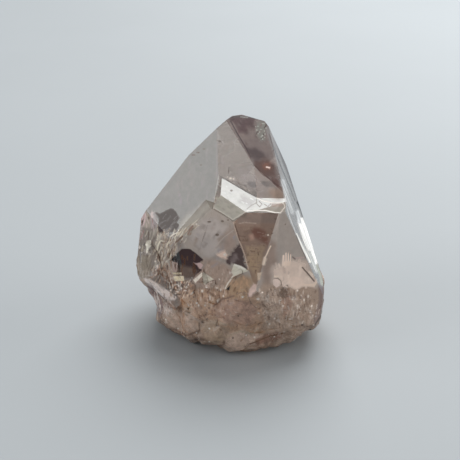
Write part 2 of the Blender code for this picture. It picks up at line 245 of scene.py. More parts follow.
# Marks are given in photo pixels. Patches: outline, colour, veil, softness, unevenness, and the face or None.
PATCHES = {
    # Painted sheen: lilac grey where the left side mirrors the pale floor
    "painted lilac sheen in the left side": (
        ((197, 222), (215, 216), (226, 228), (222, 244), (216, 258), (206, 258), (196, 246), (190, 236)),
        (154, 145, 140), 0.5, 9.0, 3.0, None,
    ),
    "brown in the left side": (
        ((224, 232), (235, 227), (238, 242), (232, 252), (222, 254), (217, 246)),
        (138, 122, 113), 0.5, 8.0, 3.0, None,
    ),
    "beige at the foot of the left side": (
        ((204, 258), (226, 262), (236, 276), (226, 290), (204, 288), (190, 284)),
        (141, 123, 112), 0.6, 6.0, 3.0, None,
    ),
    "lower left front": (
        ((183, 220), (208, 201), (212, 207), (200, 221), (186, 236), (176, 236)),
        (164, 158, 149), 0.45, 9.0, 2.0, None,
    ),
    "milky spot": (
        ((256, 122), (262, 121), (266, 125), (266, 140), (261, 142), (256, 133)),
        (137, 135, 129), 0.62, 4.0, 2.5, SHOULDER,
    ),
    "pink spot at the top": (
        ((238, 129), (243, 129), (244, 133), (239, 134)), (132, 108, 110), 0.5, 2.5, 1.5, SHOULDER,
    ),
    "dark top": (
        ((229, 118), (255, 118), (254, 126), (247, 134), (240, 132), (233, 122)),
        (102, 88, 89), 0.45, 4.0, 2.0, SHOULDER,
    ),
    "dark belt": (
        ((245, 147), (256, 148), (264, 153), (266, 158), (256, 160), (251, 158)),
        (102, 92, 92), 0.5, 3.5, 1.5, SHOULDER,
    ),
    "red shoulder": (
        ((253, 161), (268, 158), (274, 164), (276, 176), (268, 178), (259, 171)),
        (110, 92, 87), 0.5, 4.5, 2.5, SHOULDER,
    ),
    "orange glow": (
        ((263, 163), (269, 162), (271, 168), (266, 171), (262, 168)),
        (132, 100, 90), 0.5, 4.0, 1.5, SHOULDER,
    ),
    "light strip beside the shoulder": (
        ((268, 124), (272, 130), (279, 156), (283, 176), (278, 172), (272, 150), (266, 128)),
        (150, 146, 145), 0.4, 2.0, 1.0, None,
    ),
    "red foot of the shoulder": (
        ((270, 176), (277, 179), (283, 188), (281, 193), (275, 188)),
        (110, 90, 86), 0.6, 2.0, 1.5, SHOULDER,
    ),
    "orange corner": (
        ((270, 190), (279, 187), (284, 195), (282, 200), (272, 199)), (150, 132, 121), 0.4, 6.0, 3.0, None,
    ),
    "lilac under the shoulder": (
        ((238, 168), (256, 176), (270, 184), (262, 195), (248, 186), (238, 180)),
        (157, 149, 146), 0.25, 7.0, 2.0, None,
    ),
    # Painted reflection: a dark grey area on the left face
    "grey painted reflection": (
        ((155, 212.2), (157.3, 211.6), (160, 213.4), (164, 211.6), (167.6, 209.9), (170.5, 208),
         (173, 208.5), (175.6, 211), (177.4, 214.5), (179, 218), (176.8, 222), (179.6, 225), (178, 228.3),
         (174.5, 231.7), (168.7, 233), (164, 234), (160.7, 233), (158, 231), (157.8, 227), (158.4, 222.6),
         (159, 218), (157.3, 215)),
        (68, 58, 53), 0.87, 1.2, 0.8, None,
    ),
    "lilac beside the grey painted reflection": (
        ((150, 213), (155, 211), (157, 218), (156, 232), (151, 231)), (146, 136, 134), 0.7, 2.0, 1.0, None,
    ),
    "band under the ledge": (
        ((238, 214), (282, 214), (276, 224), (238, 223.5)), (120, 105, 97), 0.5, 1.5, 0.5, NOSE,
    ),
    "red heart": (
        ((251, 231), (255, 227.5), (261, 227), (266, 231.5), (268, 240), (266.5, 245), (262, 243),
         (258, 239), (253, 236)),
        (106, 78, 70), 0.6, 5.0, 2.0, NOSE,
    ),
    "olive foot of the nose": (
        ((245, 246), (265, 246), (262, 262), (256, 280), (250, 268)), (142, 122, 104), 0.6, 4.0, 2.0, NOSE,
    ),
    "orange in the nose": (
        ((249, 258), (256, 256), (261, 262), (256, 272), (250, 266)), (146, 125, 104), 0.5, 6.0, 3.0, NOSE,
    ),
    "pale spot in the nose": (
        ((249, 235), (253, 234), (254, 239), (250, 240)), (156, 126, 113), 0.6, 3.0, 1.0, None,
    ),
    "left margin of the right side": (
        ((269, 240), (276, 244), (276, 262), (271, 270), (271, 292), (264, 290), (262, 268)),
        (134, 118, 109), 0.45, 7.0, 2.5, None,
    ),
    "beige foot of the right side": (
        ((273, 268), (284, 263), (293, 259), (303, 262), (308, 268), (316, 280), (315, 287), (300, 291),
         (284, 290), (273, 289)),
        (193, 173, 160), 0.92, 12.0, 4.0, SECOND_RIGHT,
    ),
    "foot seen through the right side": (
        ((262, 290), (276, 288), (318, 286), (327, 298), (322, 318), (300, 332), (262, 332)),
        (148, 128, 114), 0.78, 6.0, 3.0, None,
    ),
    "foot seen through the middle": (
        ((190, 288), (226, 288), (236, 298), (262, 296), (264, 332), (230, 340), (192, 330), (178, 300)),
        (149, 124, 106), 0.76, 8.0, 3.0, None,
    ),
    "lower middle edge": (
        ((222, 336), (240, 330), (262, 334), (264, 346), (240, 352), (226, 346)),
        (158, 138, 125), 0.85, 4.0, 2.0, None,
    ),
    # Painted reflection: the pale right end of the step face
    "painted reflection at the right end of the step": (
        ((240, 196), (257, 199), (252, 207), (238, 204)), (184, 181, 177), 0.7, 5.0, 1.5, STEP_TOP,
    ),
    "gold": (
        ((229, 281), (235, 278), (240, 273), (247, 273), (253, 278), (254, 285), (249, 290), (252, 298),
         (244, 305), (237, 300), (230, 304), (226, 292)),
        (144, 120, 99), 0.7, 9.0, 4.5, None,
    ),
    # Painted dark reflections: the left and right dark areas, with the lighter foot and the cloud inside them
    "left painted dark reflection": (
        ((171, 259.7), (176.5, 253.4), (181.6, 248.5), (186, 248.6), (190.3, 248.8), (193.7, 251.1),
         (199.4, 256), (203.7, 259.1), (202.9, 260.8), (201, 261), (201.7, 270.5), (197, 274), (192.6, 279),
         (184, 276), (174.8, 271.8), (175.6, 263)),
        (56, 38, 27), 0.97, 0.8, 0.8, None,
    ),
    "lighter foot of the left painted dark reflection": (
        ((176, 266), (190, 267), (197, 271), (193, 280), (184, 278), (174, 273)),
        (92, 78, 70), 0.85, 5.0, 1.2, None,
    ),
    "pink flake": (
        ((192.8, 262.6), (196, 263.4), (200.6, 262.2), (203.5, 265), (202.5, 269), (199, 268.5),
         (197, 265.2)),
        (166, 142, 138), 0.9, 0.9, 0.8, None,
    ),
    "flake left of the window": (
        ((172, 262), (176, 261.5), (178, 264), (176.5, 272), (173, 272)),
        (150, 132, 124), 0.8, 1.2, 0.8, None,
    ),
    "right painted dark reflection": (
        ((239.6, 243), (242.2, 250), (244.5, 257.4), (244.8, 262), (248.5, 269.5), (244, 267.5), (234, 263),
         (230, 265), (226.5, 263), (225.3, 258.6), (229.3, 255), (233.3, 249.4)),
        (74, 62, 60), 0.95, 1.4, 1.0, None,
    ),
    "cloud in the right painted dark reflection": (
        ((232, 256), (236, 253), (238, 258), (235, 262), (231, 262)), (104, 92, 90), 0.8, 2.0, 1.2, None,
    ),
    "flat band": (
        ((143, 277), (150, 279), (160, 285), (170, 292), (177, 297), (174, 301), (166, 299), (156, 292),
         (147, 285)),
        (238, 225, 219), 0.88, 1.6, 0.6, None,
    ),
    "pink left foot": (
        ((146, 284), (152, 287), (160, 296), (164, 306), (160, 316), (154, 302)),
        (120, 101, 98), 0.8, 2.0, 1.5, None,
    ),
    "striped lower left": (
        ((166, 302), (174, 300), (176, 312), (168, 320), (162, 312)), (150, 132, 122), 0.75, 2.5, 1.5, None,
    ),
    "smooth lower left": (
        ((172, 308), (190, 318), (200, 326), (204, 338), (186, 336), (170, 326), (164, 318)),
        (152, 132, 119), 0.85, 5.0, 2.5, None,
    ),
    "rosy middle": (
        ((222, 298), (250, 300), (258, 312), (250, 326), (226, 322), (212, 310)),
        (141, 116, 103), 0.8, 8.0, 3.0, None,
    ),
    "smooth lower middle": (
        ((200, 318), (222, 322), (232, 334), (222, 344), (206, 340)), (141, 122, 106), 0.85, 6.0, 2.5, None,
    ),
    "olive right of the middle": (
        ((262, 284), (276, 284), (282, 300), (276, 322), (264, 318), (258, 300)),
        (152, 133, 120), 0.7, 6.0, 2.5, None,
    ),
    "rosy right": (
        ((282, 296), (290, 292), (292, 306), (286, 318), (280, 310)), (148, 122, 108), 0.8, 3.0, 2.0, None,
    ),
    "brown belly": (
        ((255, 340), (264, 335), (278, 333), (282, 337), (268, 343), (257, 346)),
        (116, 92, 80), 0.85, 2.5, 1.5, None,
    ),
    # Painted shade: the dark inside of a hollow in the foot
    "painted shade in the hollow, right": (
        ((279, 290), (286, 287), (290, 294), (284, 299), (280, 296)), (116, 98, 86), 0.8, 2.5, 1.5, None,
    ),
    "right rim": (
        ((318, 284), (325, 288), (327, 300), (322, 316), (315, 326), (314, 316), (319, 300)),
        (126, 110, 104), 0.7, 2.0, 1.0, None,
    ),
    "pink rim": (
        ((142, 214), (146, 212), (146.5, 221), (143.5, 230), (141, 230)),
        (194, 172, 168), 0.8, 1.6, 1.5, None,
    ),
    "brown rim": (
        ((140, 226), (156, 228), (158, 250), (154, 262), (140, 262), (137, 246)),
        (121, 112, 105), 0.75, 4.0, 2.0, None,
    ),
    "olive rim": (
        ((137, 256), (149, 255), (152, 266), (149, 277), (141, 278), (136, 272)),
        (127, 117, 106), 0.8, 1.8, 1.2, None,
    ),
}

# Small bright and dark facets that lie over the flecks, given like the patches
FACETS = {
    "pale patch on the right": (
        ((288, 279), (294, 276), (303, 279), (304, 286), (297, 288), (289, 286)),
        (204, 182, 168), 0.92, 3.5, 1.5, None,
    ),
    "cream bar, far right": (
        ((303, 284), (314, 283.5), (316, 279), (317, 282), (314.5, 286.5), (304, 286.5)),
        (230, 206, 188), 0.9, 1.2, 0.5, None,
    ),
    "round facet": (
        ((273, 280), (277, 278.5), (279.8, 281), (279.6, 286), (276.5, 288), (273.5, 285)),
        (198, 178, 168), 0.92, 0.8, 0.4, None,
    ),
    "second round facet": (
        ((281.3, 282), (285, 281), (287, 283), (286.5, 287), (283, 287.5)),
        (196, 176, 164), 0.92, 0.8, 0.4, None,
    ),
    "cream spot": (
        ((273.8, 275.6), (278.6, 275.4), (278.6, 277.4), (274, 277.4)),
        (236, 214, 196), 0.9, 0.8, 0.3, None,
    ),
    "squiggle": (
        ((307.5, 272), (310, 271), (313, 274), (314, 277.5), (311.5, 277), (309.5, 274.5)),
        (232, 212, 196), 0.85, 0.9, 0.6, None,
    ),
    # Painted refracted light: the pale palm of the fingers
    "painted refracted light, palm of the fingers": (
        ((282, 262), (291, 262), (290, 266), (283, 266)), (224, 200, 182), 0.9, 1.4, 0.6, None,
    ),
    "cream block": (
        ((173.6, 276), (183.6, 276), (184.2, 281), (174.5, 281)), (198, 184, 160), 0.95, 0.6, 0.3, None,
    ),
    "cream strip": (
        ((172.7, 272.5), (181.6, 272.6), (181.4, 274.5), (173, 274.4)),
        (176, 162, 140), 0.9, 0.6, 0.3, None,
    ),
    "small crystal, left side": (
        ((193.1, 280), (201.9, 272.4), (202.4, 276), (195.4, 283)), (212, 200, 186), 0.92, 0.5, 0.0, None,
    ),
    "small crystal, right side": (
        ((203, 272), (213.8, 279.2), (204, 285), (202.4, 277.5)), (186, 177, 162), 0.92, 0.5, 0.0, None,
    ),
    "second small crystal": (
        ((233.9, 263.7), (240, 265.5), (244.8, 268), (248, 271), (233.6, 276.4), (231.5, 271)),
        (176, 169, 155), 0.92, 0.5, 0.0, None,
    ),
    "dark triangle": (((230.4, 285), (229.4, 290.5), (225.4, 289.8)), (40, 30, 26), 0.97, 0.5, 0.2, None),
    "pink facet": (
        ((247.5, 297), (249.5, 289), (254, 283.6), (257, 285), (255.6, 292), (252, 297)),
        (188, 164, 154), 0.8, 1.6, 0.6, None,
    ),
    "pale facet beside the gold": (
        ((257, 273), (262, 272.5), (260, 280), (257.5, 280)), (180, 160, 142), 0.8, 1.0, 0.8, None,
    ),
    # Painted shade: the dark inside of a pit
    "painted shade in the pit": (((183.5, 311), (191, 312), (186.5, 316), (184.5, 314)), (92, 80, 66), 0.9, 0.9, 0.6, None),
    "pit rim": (
        ((184, 308), (191, 306.5), (192.5, 310), (190, 311), (185, 310)),
        (158, 140, 124), 0.85, 1.0, 0.6, None,
    ),
    "pink blot": (
        ((216, 255), (220, 252), (225, 251.5), (227.2, 255), (226, 258.5), (221, 257.5)),
        (214, 186, 170), 0.85, 2.0, 1.0, None,
    ),
    "cream on the rim": (
        ((146.4, 241), (150.9, 240.3), (151.2, 246.5), (148.8, 247.5), (147.6, 253), (146.1, 253),
         (146.4, 246.7), (145.2, 244.4)),
        (252, 244, 228), 0.95, 0.8, 0.4, None,
    ),
}

# Streaks: points, width, colour, veil
STREAKS = {
    # Painted refracted light: the pale peach fingers on the right side
    "painted refracted light, first finger": (((283.4, 256), (283.2, 265)), 2.0, (236, 212, 196), 0.97),
    "painted refracted light, second finger": (((286, 253.4), (286, 264)), 1.5, (232, 208, 192), 0.97),
    "painted refracted light, third finger": (((288.4, 254), (288.4, 263)), 1.2, (226, 202, 186), 0.97),
    "painted refracted light, fourth finger": (((290.8, 254.5), (290.4, 262)), 1.1, (206, 184, 170), 0.85),
    "finger bar": (((295.7, 258), (303.7, 257.4)), 1.5, (168, 148, 142), 0.7),
    "gap beside the fingers": (((292.6, 257), (295, 259)), 1.6, (112, 100, 96), 0.7),
    "dark cut": (((302.4, 267.5), (307.5, 273.2), (314, 281)), 1.2, (66, 50, 42), 0.95),
    "nose edge": (((279, 217), (271, 237)), 0.8, (150, 136, 128), 0.6),
    # Painted highlight: the bright line along the nose's right edge
    "painted highlight on the nose edge, middle": (((270.6, 246), (267, 254), (264.5, 259)), 1.4, (222, 200, 182), 0.9),
    "painted highlight on the nose edge, low": (((264.8, 258), (263.4, 264)), 2.8, (230, 208, 190), 0.9),
    "left edge of the nose, light": (
        ((233.4, 222), (236.8, 234.4), (241.4, 246), (245.4, 257.4), (248.6, 269)),
        1.1, (166, 146, 132), 0.8,
    ),
    "left edge of the nose, dark": (((235, 225), (239.8, 240.5)), 1.1, (86, 68, 60), 0.85),
    "line in the left side": (
        ((233.3, 230.4), (224, 237.3), (218.4, 243.6), (213, 252)), 0.9, (158, 146, 137), 0.5,
    ),
    # Painted highlights along these two edges
    "painted highlight on the step's edge": (((233, 276.3), (228, 283.2), (225.2, 288.6)), 1.5, (216, 202, 188), 0.9),
    "painted highlight on the second crystal's edge": (
        ((235, 264.9), (240, 266.6), (244.6, 269)), 1.6, (246, 238, 226), 0.95,
    ),
    # Painted highlights on the step's and the ledge's edges, with painted shade in the dark lines under them
    "painted highlight on the step front's edge": (
        ((213.8, 207.8), (223, 213), (232.8, 219.6), (247, 211)), 0.9, (198, 190, 178), 0.75,
    ),
    "painted shade under the step front's edge": (((214, 209.4), (224, 215), (232.8, 221.2), (247, 213)), 0.9, (104, 94, 86), 0.8),
    "step's left edge": (((218.8, 176), (216, 190), (213.6, 207)), 0.8, (172, 167, 160), 0.5),
    "over the step": (((219, 175.6), (238, 186.6), (257, 197.8)), 0.9, (108, 102, 98), 0.85),
    "painted highlight on the ledge's front edge": (
        ((247, 211), (254.4, 210.4), (265.8, 210.6), (275.6, 212.7), (281, 212.9)),
        1.1, (240, 234, 224), 0.9,
    ),
    # Painted shade: the dark line under the ledge's front edge
    "under the ledge": (((247, 212.6), (262, 211.8), (275, 214.2)), 1.0, (88, 78, 72), 0.85),
    "painted highlight on the ledge's back edge": (((257, 198), (263, 201), (272, 202.8), (283, 203)), 1.0, (226, 218, 208), 0.85),
    "ledge's end": (((283.4, 203), (285, 207), (281, 212)), 1.0, (214, 200, 188), 0.8),
    "ledge, first crack": (
        ((256.4, 199), (257, 204), (260, 207), (262, 204), (259, 201)), 0.8, (112, 100, 94), 0.8,
    ),
    "ledge, second crack": (((264, 204), (268, 206.6), (271, 203.6)), 0.8, (120, 106, 98), 0.8),
    "ledge, third crack": (((247, 209), (252, 205), (256, 203)), 0.9, (130, 124, 118), 0.8),
    "ledge's brown end": (((273, 205), (281, 205)), 3.6, (160, 142, 130), 0.6),
    "line over the nose": (((239, 223.4), (246, 222.6), (256, 223.4)), 0.8, (150, 134, 124), 0.5),
    # Painted reflection: a short bright dash
    "painted reflection dash, left": (((170.7, 236.4), (174, 234), (178.2, 232.6)), 1.1, (210, 200, 184), 0.9),
    "cream arc": (((157.3, 250), (158.2, 245), (160.5, 240.6), (163, 241.2)), 1.6, (206, 196, 178), 0.9),
    "brown dash": (((182.2, 236.6), (179, 239.6), (175.8, 242.6)), 1.8, (104, 86, 76), 0.85),
    "gold bit": (((192.6, 226), (190, 229.4), (188, 234)), 1.8, (128, 106, 96), 0.75),
    "dark edge of the side": (
        ((268, 122), (273.6, 134), (279.4, 150), (284.4, 164), (289, 175), (293.6, 187), (297.8, 198.5),
         (301.8, 210)),
        2.4, (118, 112, 111), 0.7,
    ),
    "dark line inside the side's edge": (
        ((269, 134), (274, 148), (279, 162), (283.6, 173), (290, 188), (295, 201)),
        0.9, (112, 104, 103), 0.7,
    ),
    "dark side streak, low": (((297.2, 202), (301, 210), (305, 222)), 1.9, (74, 70, 70), 0.9),
    # Painted reflection on the right face: its pale, white and olive streaks stand for the bright floor and
    # backdrop mirrored at a grazing angle
    "pale painted reflection on the right face, upper part": (((283, 181), (287, 196), (292.4, 212)), 4.4, (192, 193, 193), 0.65),
    "grey painted reflection on the right face": (((293, 203), (299, 217)), 3.0, (158, 159, 160), 0.65),
    "painted reflection on the right face, left": (
        ((299.6, 221), (302.4, 231), (305.6, 242), (309.6, 253)), 4.2, (252, 251, 248), 0.97,
    ),
    "painted reflection on the right face, right": (
        ((301.6, 219.5), (305.6, 229), (308.8, 239), (312, 250), (315.6, 263)), 4.2, (252, 251, 248), 0.97,
    ),
    "painted reflection on the right face, upper end": (((297.6, 212), (299.8, 222)), 3.4, (214, 216, 217), 0.7),
    "painted reflection on the right face, lower end": (((309.4, 252), (313, 263), (316.6, 271)), 3.4, (214, 215, 212), 0.7),
    "darker line in the right face's painted reflection": (((297.6, 226), (302.4, 239), (308.6, 253)), 0.7, (176, 172, 166), 0.8),
    "painted white reflection streak on the right face": (
        ((296.3, 234), (300.9, 243.6), (304.9, 251.7), (310, 262)), 2.0, (242, 240, 234), 0.9,
    ),
    "dark beside the painted reflection streak": (((292.8, 226.4), (299.2, 243), (306, 258)), 0.9, (104, 92, 86), 0.85),
    "olive painted reflection on the right face, lowest": (((317, 266), (320, 274), (322, 284)), 2.4, (190, 192, 182), 0.7),
    "painted reflection along the right face's left edge": (((283, 186), (285, 200), (290, 218), (296, 234)), 1.0, (196, 194, 192), 0.7),
    # Painted glint: a small bright spark on the shoulder
    "painted glint on the shoulder": (((266.6, 167), (269.4, 167.6)), 1.5, (250, 226, 214), 0.95),
    "shoulder edge": (((230.4, 121), (238.8, 136), (245.4, 147), (250.6, 157.4)), 1.0, (84, 74, 76), 0.7),
    "shoulder edge, low": (
        ((254.9, 165.7), (262.4, 174.3), (270, 179), (278, 186)), 0.9, (92, 74, 70), 0.6,
    ),
    "top edge": (((230, 117.5), (241, 116.2), (250, 117.4), (266, 120.8)), 1.3, (92, 86, 86), 0.8),
    "pale top": (((240.6, 117), (247.5, 117.6)), 1.1, (150, 148, 144), 0.8),
    "curl in the round facets": (
        ((274.4, 278.2), (278, 278.4), (281, 281), (281.6, 285)), 0.8, (104, 88, 78), 0.85,
    ),
    "line at the gold": (((249, 298.6), (251, 303), (256, 308)), 0.9, (110, 94, 84), 0.6),
    "belly line": (((250, 344), (258, 341), (270, 336), (284, 333)), 1.2, (92, 70, 58), 0.8),
    "belly light": (((228, 336), (240, 331), (252, 334), (258, 328)), 1.4, (150, 134, 118), 0.6),
    "left foot line": (((168, 315), (174, 322), (184, 332)), 0.8, (150, 134, 122), 0.6),
    "rim of the left lobe": (
        ((171, 318), (173, 313), (180, 309.6), (191, 316), (200, 321.6), (204, 326)),
        2.2, (158, 140, 127), 0.5,
    ),
    # Painted shade: the dark lines under the left lobe, between the lobes and in the crease over the rosy
    # lobe
    "painted shade under the left lobe": (((174, 329), (187, 335.6), (198, 331)), 2.0, (116, 99, 88), 0.45),
    "rim of the second lobe": (
        ((200, 329), (206, 323), (217.6, 321.6), (226, 325)), 2.2, (152, 134, 119), 0.5,
    ),
    "painted shade between the lobes": (((199, 323), (199.6, 330), (197.4, 334)), 1.6, (110, 94, 82), 0.55),
    "rim of the rosy lobe": (
        ((237, 299), (225, 303), (216.4, 313), (219, 318), (226, 322)), 2.2, (163, 138, 123), 0.5,
    ),
    "painted shade in the crease over the rosy lobe": (((214, 306), (222, 299.4), (234, 296)), 1.6, (116, 96, 84), 0.45),
    "left foot line, inner": (((156, 290), (159, 300), (161, 312)), 1.0, (176, 164, 158), 0.8),
    "right rim line": (((325.6, 288), (326, 300), (322, 314), (315, 325)), 1.2, (84, 76, 72), 0.8),
    "edge of the front": (((217.6, 130), (216.6, 152), (217, 176)), 1.0, (150, 144, 140), 0.3),
}

# Spots: across, down, half width, half height, colour, veil
SPOTS = {
    # Dark specks: most are dark grains in the crystal; the two at (202.5, 322) and (207, 319) are painted
    # shade in pits
    "specks and painted pit shade": (
        ((193.5, 155, 2.0, 0.9), (198, 152.5, 1.8, 0.8), (204, 149, 1.3, 0.7), (201, 165, 1.1, 0.7),
         (219.9, 141.3, 1.3, 0.8), (217, 140.4, 0.7, 0.5), (231.4, 190.6, 1.3, 1.0),
         (228.5, 170.5, 0.5, 3.2), (167.3, 267, 0.8, 2.6), (209.2, 221.8, 2.0, 0.9),
         (217.2, 234.8, 1.8, 1.3), (222.4, 221.2, 1.4, 1.0), (228, 220, 1.0, 0.8), (275.6, 218.7, 1.0, 0.9),
         (272.1, 233.3, 0.7, 0.7), (285.3, 224.4, 0.7, 0.6), (271.3, 228.7, 0.6, 0.6),
         (245.8, 186, 1.2, 0.6), (221, 178.6, 1.2, 0.6), (287.1, 285.5, 0.9, 0.7), (142.3, 222, 0.9, 2.0),
         (148.6, 218, 0.9, 1.4), (202.5, 322, 1.3, 1.2), (207, 319, 1.2, 1.1), (174.6, 289.6, 1.8, 0.8),
         (179.2, 294.4, 1.9, 0.8), (182.4, 286.6, 0.9, 1.3), (170.8, 284, 0.9, 1.1), (187, 293, 1.4, 0.8),
         (193.6, 297, 0.9, 0.8), (209, 308, 1.0, 0.9), (228, 301, 0.9, 0.7), (233, 338, 1.0, 0.9),
         (302, 325, 1.4, 1.0), (310, 330, 1.2, 1.4), (238.4, 316, 0.8, 0.9)),
        (88, 76, 68), 0.8,
    ),
    # Painted glints: small bright spots on the foot and on the faces
    "painted glint spots": (
        ((230.4, 178.4, 1.6, 1.2), (227.6, 177, 0.9, 0.7), (233.6, 179, 0.9, 0.8), (196.4, 224.1, 1.0, 1.1),
         (202.2, 291, 1.1, 1.5), (178.4, 286, 0.8, 1.2), (181.4, 288.4, 1.0, 0.9), (175.6, 293.6, 1.0, 0.8),
         (258, 299, 1.6, 1.2), (217.6, 301, 0.7, 1.6), (210, 298, 0.7, 2.0), (308.2, 296.4, 0.7, 1.4),
         (311.6, 306, 0.8, 1.1), (269.4, 324, 1.0, 1.1), (155.2, 261.6, 0.8, 1.0), (157.2, 266.4, 0.8, 2.2),
         (139.6, 247.4, 0.9, 1.6), (224.8, 254.6, 1.4, 1.4), (219.4, 279.4, 0.7, 0.9), (217, 288, 1.2, 0.7),
         (172.6, 287, 0.6, 1.7), (176.6, 284.4, 1.9, 0.6), (180.6, 283.4, 0.6, 1.7), (185, 290.6, 1.6, 0.6),
         (177.2, 291.8, 2.1, 0.6), (170.4, 290.2, 0.6, 1.0), (188.4, 284.6, 0.6, 1.1),
         (220.6, 290, 0.6, 1.6), (223.4, 296, 0.7, 1.2), (198.6, 305.4, 0.8, 1.2), (206.4, 287.4, 1.2, 0.8),
         (297.4, 290.6, 0.8, 1.0), (304, 300, 0.7, 1.3), (283, 306, 1.0, 0.8), (290, 319, 1.2, 0.8),
         (262.4, 292.4, 1.0, 0.8), (313.6, 325, 0.9, 0.8), (274.6, 318.4, 0.8, 1.0), (268.1, 235, 0.7, 0.9),
         (160, 306, 0.7, 1.8)),
        (246, 232, 220), 0.92,
    ),
    "bubbles": (
        ((259.6, 132, 0.8, 0.8), (262.4, 135.6, 1.1, 0.9), (265, 134, 0.7, 0.8), (258, 126.4, 0.8, 0.6),
         (261, 129.4, 1.2, 0.5), (264.4, 131, 0.5, 0.9), (258.2, 133.6, 0.6, 0.6), (261.6, 137, 1.4, 0.5),
         (255.6, 126.6, 0.5, 0.5), (264.8, 137.4, 0.5, 0.8), (263.4, 123.6, 1.8, 0.6),
         (262.6, 139, 1.0, 0.6), (256.8, 130, 0.6, 0.9), (266, 128, 0.6, 1.0)),
        (176, 176, 168), 0.8,
    ),
}

